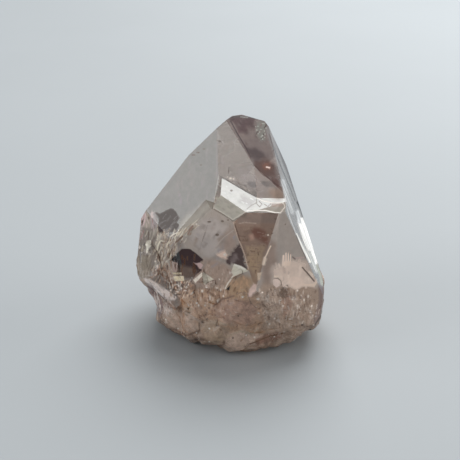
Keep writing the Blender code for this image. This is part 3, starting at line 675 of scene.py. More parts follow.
# Scattered flecks: outline, number, length, width, lean at the left and right end, colours, veil
SCATTERS = {
    "fibres": (
        ((157, 232), (179, 231), (195, 219), (198, 227), (186, 240), (180, 247), (171, 258), (166, 263),
         (158, 270), (154, 262), (154, 250)),
        150, (2.5, 8.0), (0.6, 1.1), (80.0, 42.0),
        ((244, 233, 214), (214, 201, 182), (232, 219, 199), (118, 98, 84), (92, 75, 64), (184, 168, 151),
         (152, 132, 115)),
        0.8,
    ),
    "rim streaks": (
        ((141, 213), (152, 211), (156, 232), (144, 240), (139, 240)),
        26, (3.0, 8.0), (0.6, 1.2), (86.0, 78.0),
        ((222, 200, 194), (150, 108, 102), (176, 160, 156), (110, 92, 88)), 0.75,
    ),
    "dark streaks of the rim": (
        ((140, 228), (156, 230), (164, 262), (161, 277), (152, 276), (148, 258), (139, 262)),
        60, (3.0, 8.0), (0.7, 1.5), (86.0, 70.0),
        ((112, 101, 93), (150, 141, 130), (96, 84, 76), (172, 162, 148)), 0.7,
    ),
    "olive streaks": (
        ((138, 257), (151, 256), (153, 272), (142, 277), (137, 272)),
        16, (4.0, 10.0), (0.7, 1.3), (88.0, 76.0), ((142, 132, 122), (108, 99, 90), (156, 144, 134)), 0.6,
    ),
    "wires under the olive face": (
        ((151, 268), (159, 266), (168, 276), (176, 290), (160, 284), (153, 279)),
        60, (1.6, 5.0), (0.6, 1.1), (60.0, 110.0),
        ((226, 206, 192), (88, 66, 56), (146, 112, 92), (186, 166, 150), (112, 86, 72)), 0.9,
    ),
    "glitter beside the cream block": (
        ((164, 281), (192, 281), (195, 294), (178, 300), (167, 293)),
        150, (1.0, 3.0), (0.7, 1.3), (110.0, 50.0),
        ((255, 248, 238), (84, 62, 50), (200, 176, 156), (66, 48, 40), (164, 128, 106), (110, 84, 68)),
        0.95,
    ),
    "uprights in the middle": (
        ((194, 286), (228, 286), (232, 300), (222, 316), (196, 318), (188, 306)),
        100, (1.6, 5.0), (0.7, 1.3), (100.0, 80.0),
        ((196, 170, 152), (102, 78, 64), (168, 139, 120), (122, 95, 78), (228, 206, 190)), 0.72,
    ),
    "stripes at the left foot": (
        ((152, 288), (170, 298), (174, 312), (164, 318), (156, 304)),
        26, (3.0, 9.0), (0.7, 1.4), (112.0, 96.0), ((182, 168, 160), (100, 84, 76), (206, 192, 184)), 0.75,
    ),
    "curls on the right": (
        ((258, 288), (316, 290), (324, 300), (318, 320), (300, 328), (266, 326)),
        210, (1.5, 5.0), (0.6, 1.3), (112.0, 72.0),
        ((184, 166, 152), (106, 88, 76), (162, 142, 128), (90, 72, 62), (206, 190, 178), (124, 103, 89)),
        0.7,
    ),
    "grain of the middle": (
        ((204, 304), (262, 304), (262, 340), (222, 344), (200, 332)),
        60, (1.0, 3.0), (0.8, 1.8), (150.0, 30.0),
        ((152, 130, 116), (118, 96, 82), (128, 106, 92), (160, 140, 126)), 0.45,
    ),
    "haze in the right side": (
        ((272, 266), (300, 260), (314, 278), (312, 288), (274, 288)),
        34, (1.5, 6.0), (1.2, 3.2), (100.0, 70.0),
        ((204, 184, 171), (172, 153, 142), (214, 194, 180), (190, 170, 158)), 0.88,
    ),
    "wisps in the left side": (
        ((186, 240), (206, 222), (232, 224), (236, 244), (224, 262), (206, 274), (200, 256)),
        34, (3.0, 9.0), (1.0, 2.6), (54.0, 48.0), ((158, 148, 142), (134, 122, 114), (150, 142, 142)), 0.35,
    ),
    "flecks below the windows": (
        ((204, 262), (228, 262), (234, 278), (222, 292), (206, 290)),
        44, (1.0, 4.0), (0.7, 1.4), (70.0, 100.0),
        ((178, 156, 142), (112, 94, 84), (160, 138, 124), (202, 184, 168)), 0.6,
    ),
    "flecks in the nose": (
        ((246, 244), (266, 244), (262, 264), (256, 284), (248, 268)),
        34, (1.0, 3.4), (0.8, 1.6), (60.0, 120.0),
        ((150, 126, 106), (104, 86, 74), (138, 116, 100), (126, 106, 92)), 0.45,
    ),
    "lines across the nose": (
        ((238, 226), (276, 226), (266, 250), (256, 274), (247, 262)),
        50, (3.0, 9.0), (0.5, 0.9), (-2.0, 2.0), ((138, 118, 105), (106, 87, 76), (122, 102, 90)), 0.45,
    ),
    "veins of the gold": (
        ((230, 278), (250, 276), (252, 290), (246, 300), (232, 298)),
        44, (1.5, 5.0), (0.8, 1.8), (40.0, 130.0), ((162, 132, 108), (112, 90, 74), (146, 122, 100)), 0.6,
    ),
    "pits of the step": (
        ((219, 178), (226, 178), (255, 199), (250, 206), (216, 192)),
        26, (0.8, 3.4), (0.5, 0.9), (-34.0, -30.0), ((188, 186, 182), (206, 204, 200), (248, 248, 246)),
        0.6,
    ),
    "cloud of the step front": (
        ((214, 196), (221, 196), (246, 211), (234, 218), (214, 206)),
        18, (1.5, 4.0), (1.0, 2.2), (-30.0, -20.0), ((190, 180, 170), (156, 152, 140), (178, 174, 160)),
        0.45,
    ),
    # Darker lines inside the grey painted reflection
    "lines in the grey painted reflection": (
        ((158, 214), (168, 210), (178, 216), (176, 229), (166, 234), (159, 230)),
        12, (4.0, 10.0), (0.5, 0.9), (48.0, 36.0), ((100, 92, 87), (76, 68, 63), (94, 86, 81)), 0.7,
    ),
    # Threads inside the left painted dark reflection
    "threads in the left painted dark reflection": (
        ((173, 260), (190, 252), (202, 260), (199, 272), (190, 278), (176, 271)),
        16, (3.0, 8.0), (0.7, 1.2), (94.0, 86.0), ((86, 62, 48), (58, 40, 30), (92, 70, 55)), 0.6,
    ),
    "threads of the front": (
        ((190, 162), (216, 136), (236, 136), (262, 178), (262, 196), (222, 174), (212, 204), (182, 208),
         (160, 204)),
        40, (3.0, 12.0), (0.8, 2.0), (88.0, 94.0), ((164, 160, 156), (146, 140, 136), (158, 150, 150)), 0.3,
    ),
    "threads of the shoulder": (
        ((234, 122), (268, 124), (278, 168), (264, 172), (248, 150)),
        30, (2.0, 6.0), (0.7, 1.6), (62.0, 58.0), ((122, 110, 108), (92, 80, 80), (134, 122, 118)), 0.4,
    ),
}


# The photograph's camera
def camera_axes():
    """Right, up and forward of the photograph's camera."""
    rise = math.radians(CAMERA_RISE)
    right = Vector((1.0, 0.0, 0.0))
    forward = Vector((0.0, math.cos(rise), -math.sin(rise)))
    return right, right.cross(forward), forward


def camera_eye():
    """Where the photograph's camera stands."""
    return CAMERA_TARGET - camera_axes()[2] * CAMERA_AWAY


def to_photo(points):
    """Photo pixels of an array of points in metres."""
    right, up, forward = (np.array(axis) for axis in camera_axes())
    rays = points - np.array(camera_eye())
    depth = rays @ forward
    middle = PHOTO_SIDE / 2.0
    across = middle + PHOTO_FOCAL * (rays @ right) / depth
    down = middle - PHOTO_FOCAL * (rays @ up) / depth
    return across, down


# Shape of the crystal
def clean_copy(node):
    """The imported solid's mesh with its loose triangles joined and flat faces made whole."""
    shape = bmesh.new()
    shape.from_mesh(node.data)
    bmesh.ops.transform(shape, verts=shape.verts[:], matrix=node.matrix_world)
    bmesh.ops.remove_doubles(shape, verts=shape.verts[:], dist=MERGE)
    bmesh.ops.dissolve_degenerate(shape, edges=shape.edges[:], dist=MERGE)
    bmesh.ops.recalc_face_normals(shape, faces=shape.faces[:])
    return shape


def flat_face_marks(shape, least_area, lowest):
    """Marks each triangle that lies on one of the crystal's large flat faces, above the lowest level."""
    mark = shape.faces.layers.int.new("flat")
    planes = {}
    for face in shape.faces:
        normal = face.normal
        key = (round(normal.x, 2), round(normal.y, 2), round(normal.z, 2))
        key += (round(normal.dot(face.calc_center_median()) / PLANE_STEP),)
        planes.setdefault(key, []).append(face)
    for faces in planes.values():
        area = sum(face.calc_area() for face in faces)
        level = sum(face.calc_center_median().z * face.calc_area() for face in faces) / area
        if area > least_area * MM * MM and level > lowest and faces[0].normal.z > LEAST_SLANT:
            for face in faces:
                face[mark] = 1
    return mark


def plump_flats(shape, flat):
    """Turns the edges inside the flat faces so that their triangles grow less slender."""
    edges = []
    for edge in shape.edges:
        one, two = edge.link_faces
        if one[flat] and two[flat] and one.normal.dot(two.normal) > SAME_PLANE:
            edges.append(edge)
    faces = [face for face in shape.faces if face[flat]]
    bmesh.ops.beautify_fill(shape, faces=faces, edges=edges, method="ANGLE")


def refine(shape, flat, faces_of, longest, rounds):
    """Splits the edges of these faces until none is longer than the given length."""
    for _ in range(rounds):
        chosen = set(faces_of(shape))
        long = [edge for edge in shape.edges if edge.calc_length() > longest]
        edges = [edge for edge in long if not chosen.isdisjoint(edge.link_faces)]
        if not edges:
            return
        bmesh.ops.subdivide_edges(shape, edges=edges, cuts=1, use_grid_fill=True, use_single_edge=True)
        many = [face for face in shape.faces if len(face.verts) > 3]
        bmesh.ops.triangulate(shape, faces=many, quad_method="SHORT_EDGE", ngon_method="BEAUTY")
        plump_flats(shape, flat)


def soften_foot(shape, flat, rounds):
    """Rounds the chips of the broken foot, apart from the small crystals and the level it rests on."""
    free = []
    for vert in shape.verts:
        if vert.co.z < REST_LEVEL or any(face[flat] for face in vert.link_faces):
            continue
        if all((vert.co - Vector(point) * MM).length > reach * MM for point, reach in CRISP):
            free.append(vert)
    for _ in range(rounds):
        bmesh.ops.smooth_vert(
            shape, verts=free, factor=0.5, use_axis_x=True, use_axis_y=True, use_axis_z=True
        )


def raise_lumps(shape, flat, height):
    """Fine lumps over the broken foot, none of them below the level that it rests on."""
    rough = [vert for vert in shape.verts if all(not face[flat] for face in vert.link_faces)]
    for vert in rough:
        swell = noise.fractal(vert.co * LUMP_SCALE, *LUMP_FORM)
        vert.co += vert.normal * swell * height
    for vert in rough:
        vert.co.z = max(vert.co.z, 0.0)


def low_share(point):
    """1 at the height of the broken foot, which climbs to the left, and 0 over it, where a chip is clear."""
    top = CRUST_TOP + CRUST_CLIMB * max(-point.x - CRUST_CLIMB_START, 0.0)
    return 1.0 - min(max((point.z - top) / CRUST_BLEND, 0.0), 1.0)


def crust_shares(shape, flat, fade):
    """How much each face corner belongs to the broken foot: 1 on it, fading on the flat faces beside it."""
    rough = []
    for vert in shape.verts:
        if low_share(vert.co) > 0.5 and any(not face[flat] for face in vert.link_faces):
            rough.append(vert)
    tree = KDTree(len(rough))
    for index, vert in enumerate(rough):
        tree.insert(vert.co, index)
    tree.balance()
    near = [1.0 - min(tree.find(vert.co)[2] / fade, 1.0) for vert in shape.verts]
    shares = []
    for face in shape.faces:
        for vert in face.verts:
            shares.append(CRUST_ON_FLATS * near[vert.index] ** 2 if face[flat] else low_share(vert.co))
    return np.array(shares)


# Faces that need a finer surface
def faces_in_photo(shape):
    """Faces that look towards the camera, and their middles in photo pixels."""
    eye = camera_eye()
    faces = [face for face in shape.faces if face.normal.dot(eye - face.calc_center_median()) > 0.0]
    return faces, *to_photo(np.array([face.calc_center_median() for face in faces]))


def busy_faces(shape):
    """Faces where flecks lie thick."""
    faces, across, down = faces_in_photo(shape)
    depth = np.full(len(faces), -np.inf)
    for outline, *_, veil in SCATTERS.values():
        if veil > BUSY_VEIL:
            depth = np.maximum(depth, outline_depth(across, down, outline))
    return [faces[index] for index in np.flatnonzero(depth > -BUSY_MARGIN)]


def sharp_faces(shape):
    """Faces close to a streak, a spot or a patch's sharp edge."""
    faces, across, down = faces_in_photo(shape)
    gap = np.full(len(faces), np.inf)
    lines = [streak[0] for streak in STREAKS.values()]
    for outline, _, _, soft, *_ in (*PATCHES.values(), *FACETS.values()):
        if soft < SHARP:
            lines.append(outline + outline[:1])
    for points in lines:
        for start, end in zip(points, points[1:]):
            gap = np.minimum(gap, line_distance(across, down, start, end))
    for places, _, _ in SPOTS.values():
        for spot in places:
            gap = np.minimum(gap, np.hypot(across - spot[0], down - spot[1]) - max(spot[2:4]))
    return [faces[index] for index in np.flatnonzero(gap < SHARP)]


# Colours
def look(azimuth, rise):
    """Unit vector of a face's azimuth and rise."""
    turn = math.radians(azimuth)
    up = math.radians(rise)
    return np.array((math.sin(turn) * math.cos(up), -math.cos(turn) * math.cos(up), math.sin(up)))


def light_on(normals):
    """What white surfaces show in the studio, from their normals."""
    level = 0.5 * ROOM_LEVEL * (1.0 + normals[:, 2]) + 0.5 * FLOOR_LEVEL * (1.0 - normals[:, 2])
    for (azimuth, rise), (wide, high), radiance, _ in PANELS.values():
        way = look(180.0 - azimuth, rise)
        aside = np.cross(way, (0.0, 0.0, 1.0))
        aside /= np.linalg.norm(aside)
        for part in PANEL_PARTS:
            for other in PANEL_PARTS:
                spot = PANEL_AWAY * way + part * wide * aside + other * high * np.cross(aside, way)
                reach = np.linalg.norm(spot)
                share = wide * high / len(PANEL_PARTS) ** 2 * (spot @ way) / (math.pi * reach ** 3)
                level += radiance * share * np.maximum(normals @ (spot / reach), 0.0)
    return level * (LIGHT_STRENGTH + LIGHT_LEAN * normals[:, 0])


def paint(seen, veil, level, mirrored):
    """Linear colours that surfaces of this veil need to show the colour that is seen."""
    shown = ((np.array(seen, float) / 255.0 + 0.055) / 1.055) ** 2.4
    light = veil * level + (1.0 - veil) * THROUGH_LEVEL
    colours = np.maximum((shown[None, :] - mirrored[:, None]) / light[:, None], DARKEST)
    return colours / np.maximum(colours.max(axis=1) / BRIGHTEST, 1.0)[:, None]


# Marks
def smooth(value, low, high):
    """0 at the low value, 1 at the high one, with soft ends."""
    part = np.clip((value - low) / (high - low), 0.0, 1.0)
    return part * part * (3.0 - 2.0 * part)


def line_distance(across, down, start, end):
    """Distance in pixels from a line piece."""
    run = np.array(end, float) - np.array(start, float)
    along = ((across - start[0]) * run[0] + (down - start[1]) * run[1]) / max(run @ run, 1e-9)
    along = np.clip(along, 0.0, 1.0)
    return np.hypot(across - start[0] - along * run[0], down - start[1] - along * run[1])


def outline_depth(across, down, outline):
    """Distance in pixels inside an outline, negative outside it."""
    inside = np.zeros(len(across), bool)
    nearest = np.full(len(across), np.inf)
    for start, end in zip(outline, outline[1:] + outline[:1]):
        nearest = np.minimum(nearest, line_distance(across, down, start, end))
        if start[1] != end[1]:
            crosses = (start[1] > down) != (end[1] > down)
            at = start[0] + (down - start[1]) * (end[0] - start[0]) / (end[1] - start[1])
            inside ^= crosses & (across < at)
    return np.where(inside, nearest, -nearest)


class Surface:
    """Milky colour, veil and cover of the marks at each face corner of the crystal."""

    def __init__(self, mesh, wobble, flat):
        count = len(mesh.loops)
        points = np.empty(len(mesh.vertices) * 3)
        mesh.vertices.foreach_get("co", points)
        corner = np.empty(count, int)
        mesh.loops.foreach_get("vertex_index", corner)
        normals = np.empty(len(mesh.polygons) * 3)
        mesh.polygons.foreach_get("normal", normals)
        sizes = np.empty(len(mesh.polygons), int)
        mesh.polygons.foreach_get("loop_total", sizes)
        points = points.reshape(-1, 3)[corner]
        self.normals = np.repeat(normals.reshape(-1, 3), sizes, axis=0)
        self.across, self.down = to_photo(points)
        self.wobble = wobble[corner]
        rays = np.array(camera_eye()) - points
        facing = np.einsum("ij,ij->i", rays, self.normals) / np.linalg.norm(rays, axis=1)
        self.seen = facing > 0.0
        self.flat = flat
        self.clearness = np.where(flat, 1.0, smooth(facing, *TURNED_AWAY))
        grazing = np.where(self.seen, 1.0 - facing, 0.0) ** 5
        mirror = FACE_ON_MIRROR + (1.0 - FACE_ON_MIRROR) * grazing
        self.mirrored = MIRROR_LEVEL * mirror
        self.level = light_on(self.normals) * (1.0 - mirror)
        self.milk = np.zeros((count, 3))
        self.veil = np.zeros(count)
        self.cover = np.zeros(count)

    def lay(self, chosen, weight, colour, veil):
        """Lays a mark over what is there."""
        weight = weight * np.where(self.seen[chosen], self.clearness[chosen], 1.0)
        under = self.cover[chosen] * (1.0 - weight)
        cover = np.maximum(under + weight, 1e-6)
        share = weight / cover
        milk = veil * paint(colour, veil, self.level[chosen], self.mirrored[chosen])
        self.milk[chosen] += share[:, None] * (milk - self.milk[chosen])
        self.veil[chosen] += share * (veil - self.veil[chosen])
        self.cover[chosen] = under + weight

    def matches(self, azimuth_rise, least):
        """Which corners look the way that a face does."""
        return self.normals @ look(*azimuth_rise) > least

    def near(self, outline, margin, face=None):
        """Corners in or near an outline, and on this face if one is given."""
        across = [point[0] for point in outline]
        down = [point[1] for point in outline]
        chosen = self.seen & (self.across > min(across) - margin) & (self.across < max(across) + margin)
        chosen &= (self.down > min(down) - margin) & (self.down < max(down) + margin)
        if face is not None:
            chosen &= self.matches(face, MARKED_FACE)
        return np.flatnonzero(chosen)

    def uneven(self, chosen, amount):
        """Photo pixels of the corners, shifted a little so that edges aren't ruled."""
        shift = amount * self.wobble[chosen]
        return self.across[chosen] + shift[:, 0], self.down[chosen] + shift[:, 1]

    def face(self, azimuth_rise, colour, veil):
        """Colours a whole flat face, evenly."""
        chosen = np.flatnonzero(self.flat & self.matches(azimuth_rise, SAME_FACE))
        self.lay(chosen, np.ones(len(chosen)), colour, veil)

    def patch(self, outline, colour, veil, soft, wobble, face):
        """An area with a soft or sharp edge."""
        chosen = self.near(outline, soft + 2.0 * wobble + 1.0, face)
        across, down = self.uneven(chosen, wobble)
        weight = smooth(outline_depth(across, down, outline), -0.5 * soft, 0.5 * soft)
        self.lay(chosen, weight, colour, veil)

    def streak(self, points, width, colour, veil, cover=1.0):
        """A line with soft sides."""
        chosen = self.near(points, 2.0 * width)
        across, down = self.uneven(chosen, STREAK_WOBBLE)
        weight = np.zeros(len(chosen))
        for start, end in zip(points, points[1:]):
            gap = line_distance(across, down, start, end) / width
            weight = np.maximum(weight, 1.0 - smooth(gap, *STREAK_EDGE))
        self.lay(chosen, weight * cover, colour, veil)

    def spot(self, across, down, wide, high, colour, veil):
        """A small round or oval mark."""
        chosen = self.near(((across - wide, down - high), (across + wide, down + high)), 2.0)
        gap = np.hypot((self.across[chosen] - across) / wide, (self.down[chosen] - down) / high)
        self.lay(chosen, 1.0 - smooth(gap, *SPOT_EDGE), colour, veil)

    def scatter(self, outline, number, length, width, lean, colours, veil, rng):
        """Short curved flecks inside an outline, whose lean changes from its left to its right."""
        left, right = min(point[0] for point in outline), max(point[0] for point in outline)
        top, bottom = min(point[1] for point in outline), max(point[1] for point in outline)
        made = 0
        while made < number:
            middle = np.array((rng.uniform(left, right), rng.uniform(top, bottom)))
            if outline_depth(middle[:1], middle[1:], outline)[0] < 0.0:
                continue
            made += 1
            part = (middle[0] - left) / (right - left)
            turn = math.radians(lean[0] + (lean[1] - lean[0]) * part + rng.gauss(0.0, FLECK_SPREAD))
            half = 0.5 * rng.uniform(*length) * np.array((math.cos(turn), -math.sin(turn)))
            bow = rng.uniform(-FLECK_BOW, FLECK_BOW) * np.array((-half[1], half[0]))
            points = (middle - half, middle + bow, middle + half)
            self.streak(points, rng.uniform(*width), rng.choice(colours), veil, rng.uniform(*FLECK_COVER))

    def keep(self, mesh, crust):
        """Stores the marks on the mesh, where the material reads them."""
        tint = mesh.attributes.new("tint", "FLOAT_COLOR", "CORNER")
        colours = self.milk / np.maximum(self.veil, 1e-3)[:, None]
        tint.data.foreach_set("color", np.column_stack((colours, np.ones(len(colours)))).ravel())
        kept = {
            "veil": self.veil,
            "cover": self.cover,
            "crust": crust,
            "streaked": self.flat & self.matches(RIGHT_SIDE, SAME_FACE),
            "grown": self.flat & ~self.seen,
        }
        for name, values in kept.items():
            made = mesh.attributes.new(name, "FLOAT", "CORNER")
            made.data.foreach_set("value", np.array(values, float))


# Settings
class CrystalSettings(bpy.types.PropertyGroup):
    """Sizes and colours of the crystal."""

    flat_area: FloatProperty(
        name="Flat face area", description="Least area of a smooth face, in square mm", default=8.0
    )
    foot_level: FloatProperty(
        name="Foot level", description="Faces whose middle is lower belong to the broken foot", default=0.008,
        unit="LENGTH",
    )
    fine_edge: FloatProperty(
        name="Fine edge", description="Longest edge where the surface is marked", default=0.0009,
        unit="LENGTH",
    )
    sharp_edge: FloatProperty(
        name="Sharp edge", description="Longest edge at sharp marks", default=0.00023, unit="LENGTH"
    )
    busy_edge: FloatProperty(
        name="Busy edge", description="Longest edge where flecks lie thick", default=0.0003, unit="LENGTH"
    )
    crust_edge: FloatProperty(
        name="Foot edge", description="Longest edge on the broken foot", default=0.0009, unit="LENGTH"
    )
    crust_fade: FloatProperty(
        name="Stain reach", description="How far the foot's stain reaches up the flat faces", default=0.0022,
        unit="LENGTH",
    )
    softening: IntProperty(name="Softening", description="Rounds of smoothing of the foot", default=6, min=0)
    lump_height: FloatProperty(
        name="Lump height", description="Height of the fine lumps of the foot", default=0.00028, unit="LENGTH"
    )
    clear_colour: FloatVectorProperty(
        name="Clear colour", description="Tint of the clear faces", subtype="COLOR", size=3,
        default=(0.93, 0.91, 0.89),
    )
    smoke_colour: FloatVectorProperty(
        name="Smoke colour", description="Tint of the smoky body", subtype="COLOR", size=3,
        default=(0.55, 0.42, 0.34),
    )
    # Curl colours of the foot: the pale one is a painted highlight, the dark one painted shade in fine gaps
    painted_highlight_thread: FloatVectorProperty(
        name="Pale thread", description="Colour of the fine pale curls of the foot", subtype="COLOR", size=3,
        default=(0.84, 0.7, 0.6),
    )
    painted_shade_thread: FloatVectorProperty(
        name="Dark thread", description="Colour of the fine dark curls of the foot", subtype="COLOR", size=3,
        default=(0.12, 0.075, 0.05),
    )
    # Colour of the painted glints on the foot
    glint: FloatVectorProperty(
        name="Glint", description="Colour of the foot's fine sparkles", subtype="COLOR", size=3,
        default=(0.95, 0.88, 0.8),
    )
    smoke_density: FloatProperty(
        name="Smoke density", description="How fast the body darkens with depth, per metre", default=42.0,
        min=0.0,
    )


class StudioSettings(bpy.types.PropertyGroup):
    """Light and floor of the studio."""

    surround: FloatProperty(
        name="Surround", description="Brightness of the pale room", default=ROOM_LEVEL, min=0.0
    )
    floor_colour: FloatVectorProperty(
        name="Floor colour", description="Colour of the floor", subtype="COLOR", size=3,
        default=(0.36, 0.385, 0.40),
    )


# Materials
class Tree:
    """Short way to add and link the nodes of one material or world."""

    def __init__(self, tree):
        self.tree = tree
        tree.nodes.clear()

    def add(self, kind, inputs=None, **settings):
        """A node with its settings, and its inputs linked or set."""
        made = self.tree.nodes.new(kind)
        for name, value in settings.items():
            setattr(made, name, value)
        for name, value in (inputs or {}).items():
            socket = made.inputs[name]
            if isinstance(value, bpy.types.NodeSocket):
                self.tree.links.new(value, socket)
            else:
                socket.default_value = value
        return made

    def math(self, operation, first, second=0.0, clamp=False):
        """The result of one operation on two values."""
        node = self.add("ShaderNodeMath", {0: first, 1: second}, operation=operation, use_clamp=clamp)
        return node.outputs[0]

    def plus(self, first, second, clamp=False):
        """Two values added."""
        return self.math("ADD", first, second, clamp)

    def times(self, first, second):
        """Two values multiplied."""
        return self.math("MULTIPLY", first, second)

    def rest(self, value, clamp=False):
        """What a value leaves of 1."""
        return self.math("SUBTRACT", 1.0, value, clamp)

    def span(self, value, low, high, out_low=0.0, out_high=1.0):
        """A value stretched softly from one range to another."""
        node = self.add(
            "ShaderNodeMapRange",
            {"Value": value, "From Min": low, "From Max": high, "To Min": out_low, "To Max": out_high},
            interpolation_type="SMOOTHSTEP",
        )
        return node.outputs["Result"]

    def mix(self, factor, first, second, blend="MIX"):
        """Two colours mixed or multiplied."""
        inputs = {0: factor, 6: first, 7: second}
        return self.add("ShaderNodeMix", inputs, data_type="RGBA", blend_type=blend).outputs[2]

    def brighten(self, colour, level):
        """A colour times a brightness."""
        grey = self.add("ShaderNodeCombineColor", {"Red": level, "Green": level, "Blue": level})
        return self.mix(1.0, colour, grey.outputs["Color"], "MULTIPLY")

    def ramp(self, factor, stops):
        """The colour at a place between the stops."""
        node = self.add("ShaderNodeValToRGB", {"Fac": factor})
        band = node.color_ramp
        while len(band.elements) < len(stops):
            band.elements.new(1.0)
        for element, (place, colour) in zip(band.elements, stops):
            element.position = place
            element.color = colour
        return node.outputs["Color"]

    def noise(self, place, scale, detail, roughness=0.5, distortion=0.0):
        """A cloudy pattern."""
        inputs = {"Vector": place, "Scale": scale, "Detail": detail, "Roughness": roughness}
        return self.add("ShaderNodeTexNoise", {**inputs, "Distortion": distortion}).outputs["Fac"]

    def noise_along(self, place, aside, along, fine, coarse, detail):
        """A cloudy pattern that is drawn out into straight lines along one direction."""
        reaches = []
        for way, scale in ((aside, fine), (along, coarse)):
            node = self.add("ShaderNodeVectorMath", {0: place, 1: way * scale}, operation="DOT_PRODUCT")
            reaches.append(node.outputs["Value"])
        spot = self.add("ShaderNodeCombineXYZ", {"X": reaches[0], "Y": reaches[1]}).outputs["Vector"]
        return self.noise(spot, 1.0, detail)


def new_tree(name):
    """A new material and its empty tree."""
    material = bpy.data.materials.new(name)
    material.use_nodes = True
    return material, Tree(material.node_tree)


def crystal_material(settings):
    """Clear smoky crystal that turns milky, stained and rough where its attributes say so."""
    material, tree = new_tree("smoky_quartz_body")
    place = tree.add("ShaderNodeTexCoord").outputs["Object"]
    crust, veil, cover, streaked, grown = (
        tree.add("ShaderNodeAttribute", attribute_name=name).outputs["Fac"]
        for name in ("crust", "veil", "cover", "streaked", "grown")
    )
    tint = tree.add("ShaderNodeAttribute", attribute_name="tint").outputs["Color"]
    blotches = tree.noise(place, *PATTERNS["blotches"])
    grain = tree.noise(place, *PATTERNS["grain"])

    # Clear faces, the stain of the foot, the marks and the grain of all three
    clear = (*settings.clear_colour, 1.0)
    # The tint holds the marks' colours, among them painted reflections, highlights, glints and shade
    colour = tree.mix(cover, tree.mix(crust, clear, tree.ramp(blotches, STAIN)), tint)
    depth = tree.plus(FLAT_GRAIN, tree.times(crust, FOOT_GRAIN))
    swing = tree.times(tree.span(grain, *SPANS["grain"]), depth)
    colour = tree.brighten(colour, tree.plus(1.0, swing))

    # Straight streaks along the right side, level growth lines and clouds on the faces that the photo hides
    way = Vector(STREAK_WAY)
    streaks = tree.noise_along(place, way.cross(Vector(look(*RIGHT_SIDE))), way, *STREAK_LINES)
    growth = tree.noise_along(place, Vector(GROWTH_UP), Vector(GROWTH_WAY), *GROWTH_LINES)
    swing = tree.times(tree.span(streaks, *SPANS["streaks"]), streaked)
    swing = tree.plus(swing, tree.times(tree.span(growth, *SPANS["growth"]), grown))
    colour = tree.brighten(colour, tree.plus(1.0, swing))
    clouds = tree.times(tree.span(tree.noise(place, *PATTERNS["clouds"]), *SPANS["clouds"]), grown)

    # Fine curls over the foot: pale ones are painted highlights, dark ones painted shade in fine gaps
    curls = tree.noise(place, *PATTERNS["curls"])
    sides = tree.noise(place, *PATTERNS["sides"])
    off_middle = tree.math("ABSOLUTE", tree.math("SUBTRACT", curls, 0.5))
    threads = tree.times(tree.span(off_middle, *SPANS["threads"]), crust)
    threads = tree.times(threads, tree.rest(tree.times(cover, MARK_OVER_THREADS)))
    for name, thread in (("painted highlight threads", settings.painted_highlight_thread), ("painted shade threads", settings.painted_shade_thread)):
        colour = tree.mix(tree.times(threads, tree.span(sides, *SPANS[name])), colour, (*thread, 1.0))

    # Painted glints: pale colour on a few of the foot's grains
    grit = tree.add("ShaderNodeTexVoronoi", {"Vector": place, "Scale": GRIT_SCALE}).outputs
    lot = tree.add("ShaderNodeSeparateColor", {"Color": grit["Color"]}).outputs["Red"]
    glints = tree.span(grit["Distance"], *SPANS["middle of a grain"])
    glints = tree.times(glints, tree.span(lot, *SPANS["lit grains"]))
    glints = tree.times(glints, tree.times(crust, tree.span(sides, *SPANS["side of the glints"])))
    colour = tree.mix(glints, colour, (*settings.glint, 1.0))

    # How clear and how rough it is
    foot_veil = tree.times(crust, tree.span(blotches, *SPANS["veil of the foot"]))
    all_veil = tree.plus(tree.times(foot_veil, tree.rest(cover)), tree.times(veil, cover))
    all_veil = tree.plus(all_veil, clouds, clamp=True)
    dull = tree.times(DULLNESS, tree.math("POWER", all_veil, DULLNESS_GROWTH))
    dull = tree.times(dull, tree.rest(tree.times(crust, FOOT_SHINE)))
    roughness = tree.plus(tree.plus(FLAT_ROUGHNESS, tree.times(crust, FOOT_ROUGHNESS)), dull)

    # Fine relief of the foot and of the growth lines
    facets = tree.add("ShaderNodeTexVoronoi", {"Vector": place, "Scale": FACET_SCALE}).outputs["Distance"]
    height = tree.plus(tree.noise(place, *PATTERNS["chips"]), tree.times(grain, GRAIN_RELIEF))
    height = tree.times(tree.plus(height, tree.times(facets, FACET_RELIEF)), crust)
    height = tree.plus(height, tree.times(tree.times(growth, GROWTH_RELIEF), grown))
    relief = {"Strength": RELIEF_STRENGTH, "Distance": RELIEF_HEIGHT, "Height": height}
    bump = tree.add("ShaderNodeBump", relief)
    shader = tree.add(
        "ShaderNodeBsdfPrincipled",
        {
            "Base Color": colour,
            "Roughness": roughness,
            "IOR": QUARTZ_IOR,
            "Transmission Weight": tree.rest(all_veil, clamp=True),
            "Normal": bump.outputs["Normal"],
        },
    )
    smoke = tree.add(
        "ShaderNodeVolumeAbsorption",
        {"Color": (*settings.smoke_colour, 1.0), "Density": settings.smoke_density},
    )
    tree.add(
        "ShaderNodeOutputMaterial", {"Surface": shader.outputs["BSDF"], "Volume": smoke.outputs["Volume"]}
    )
    return material


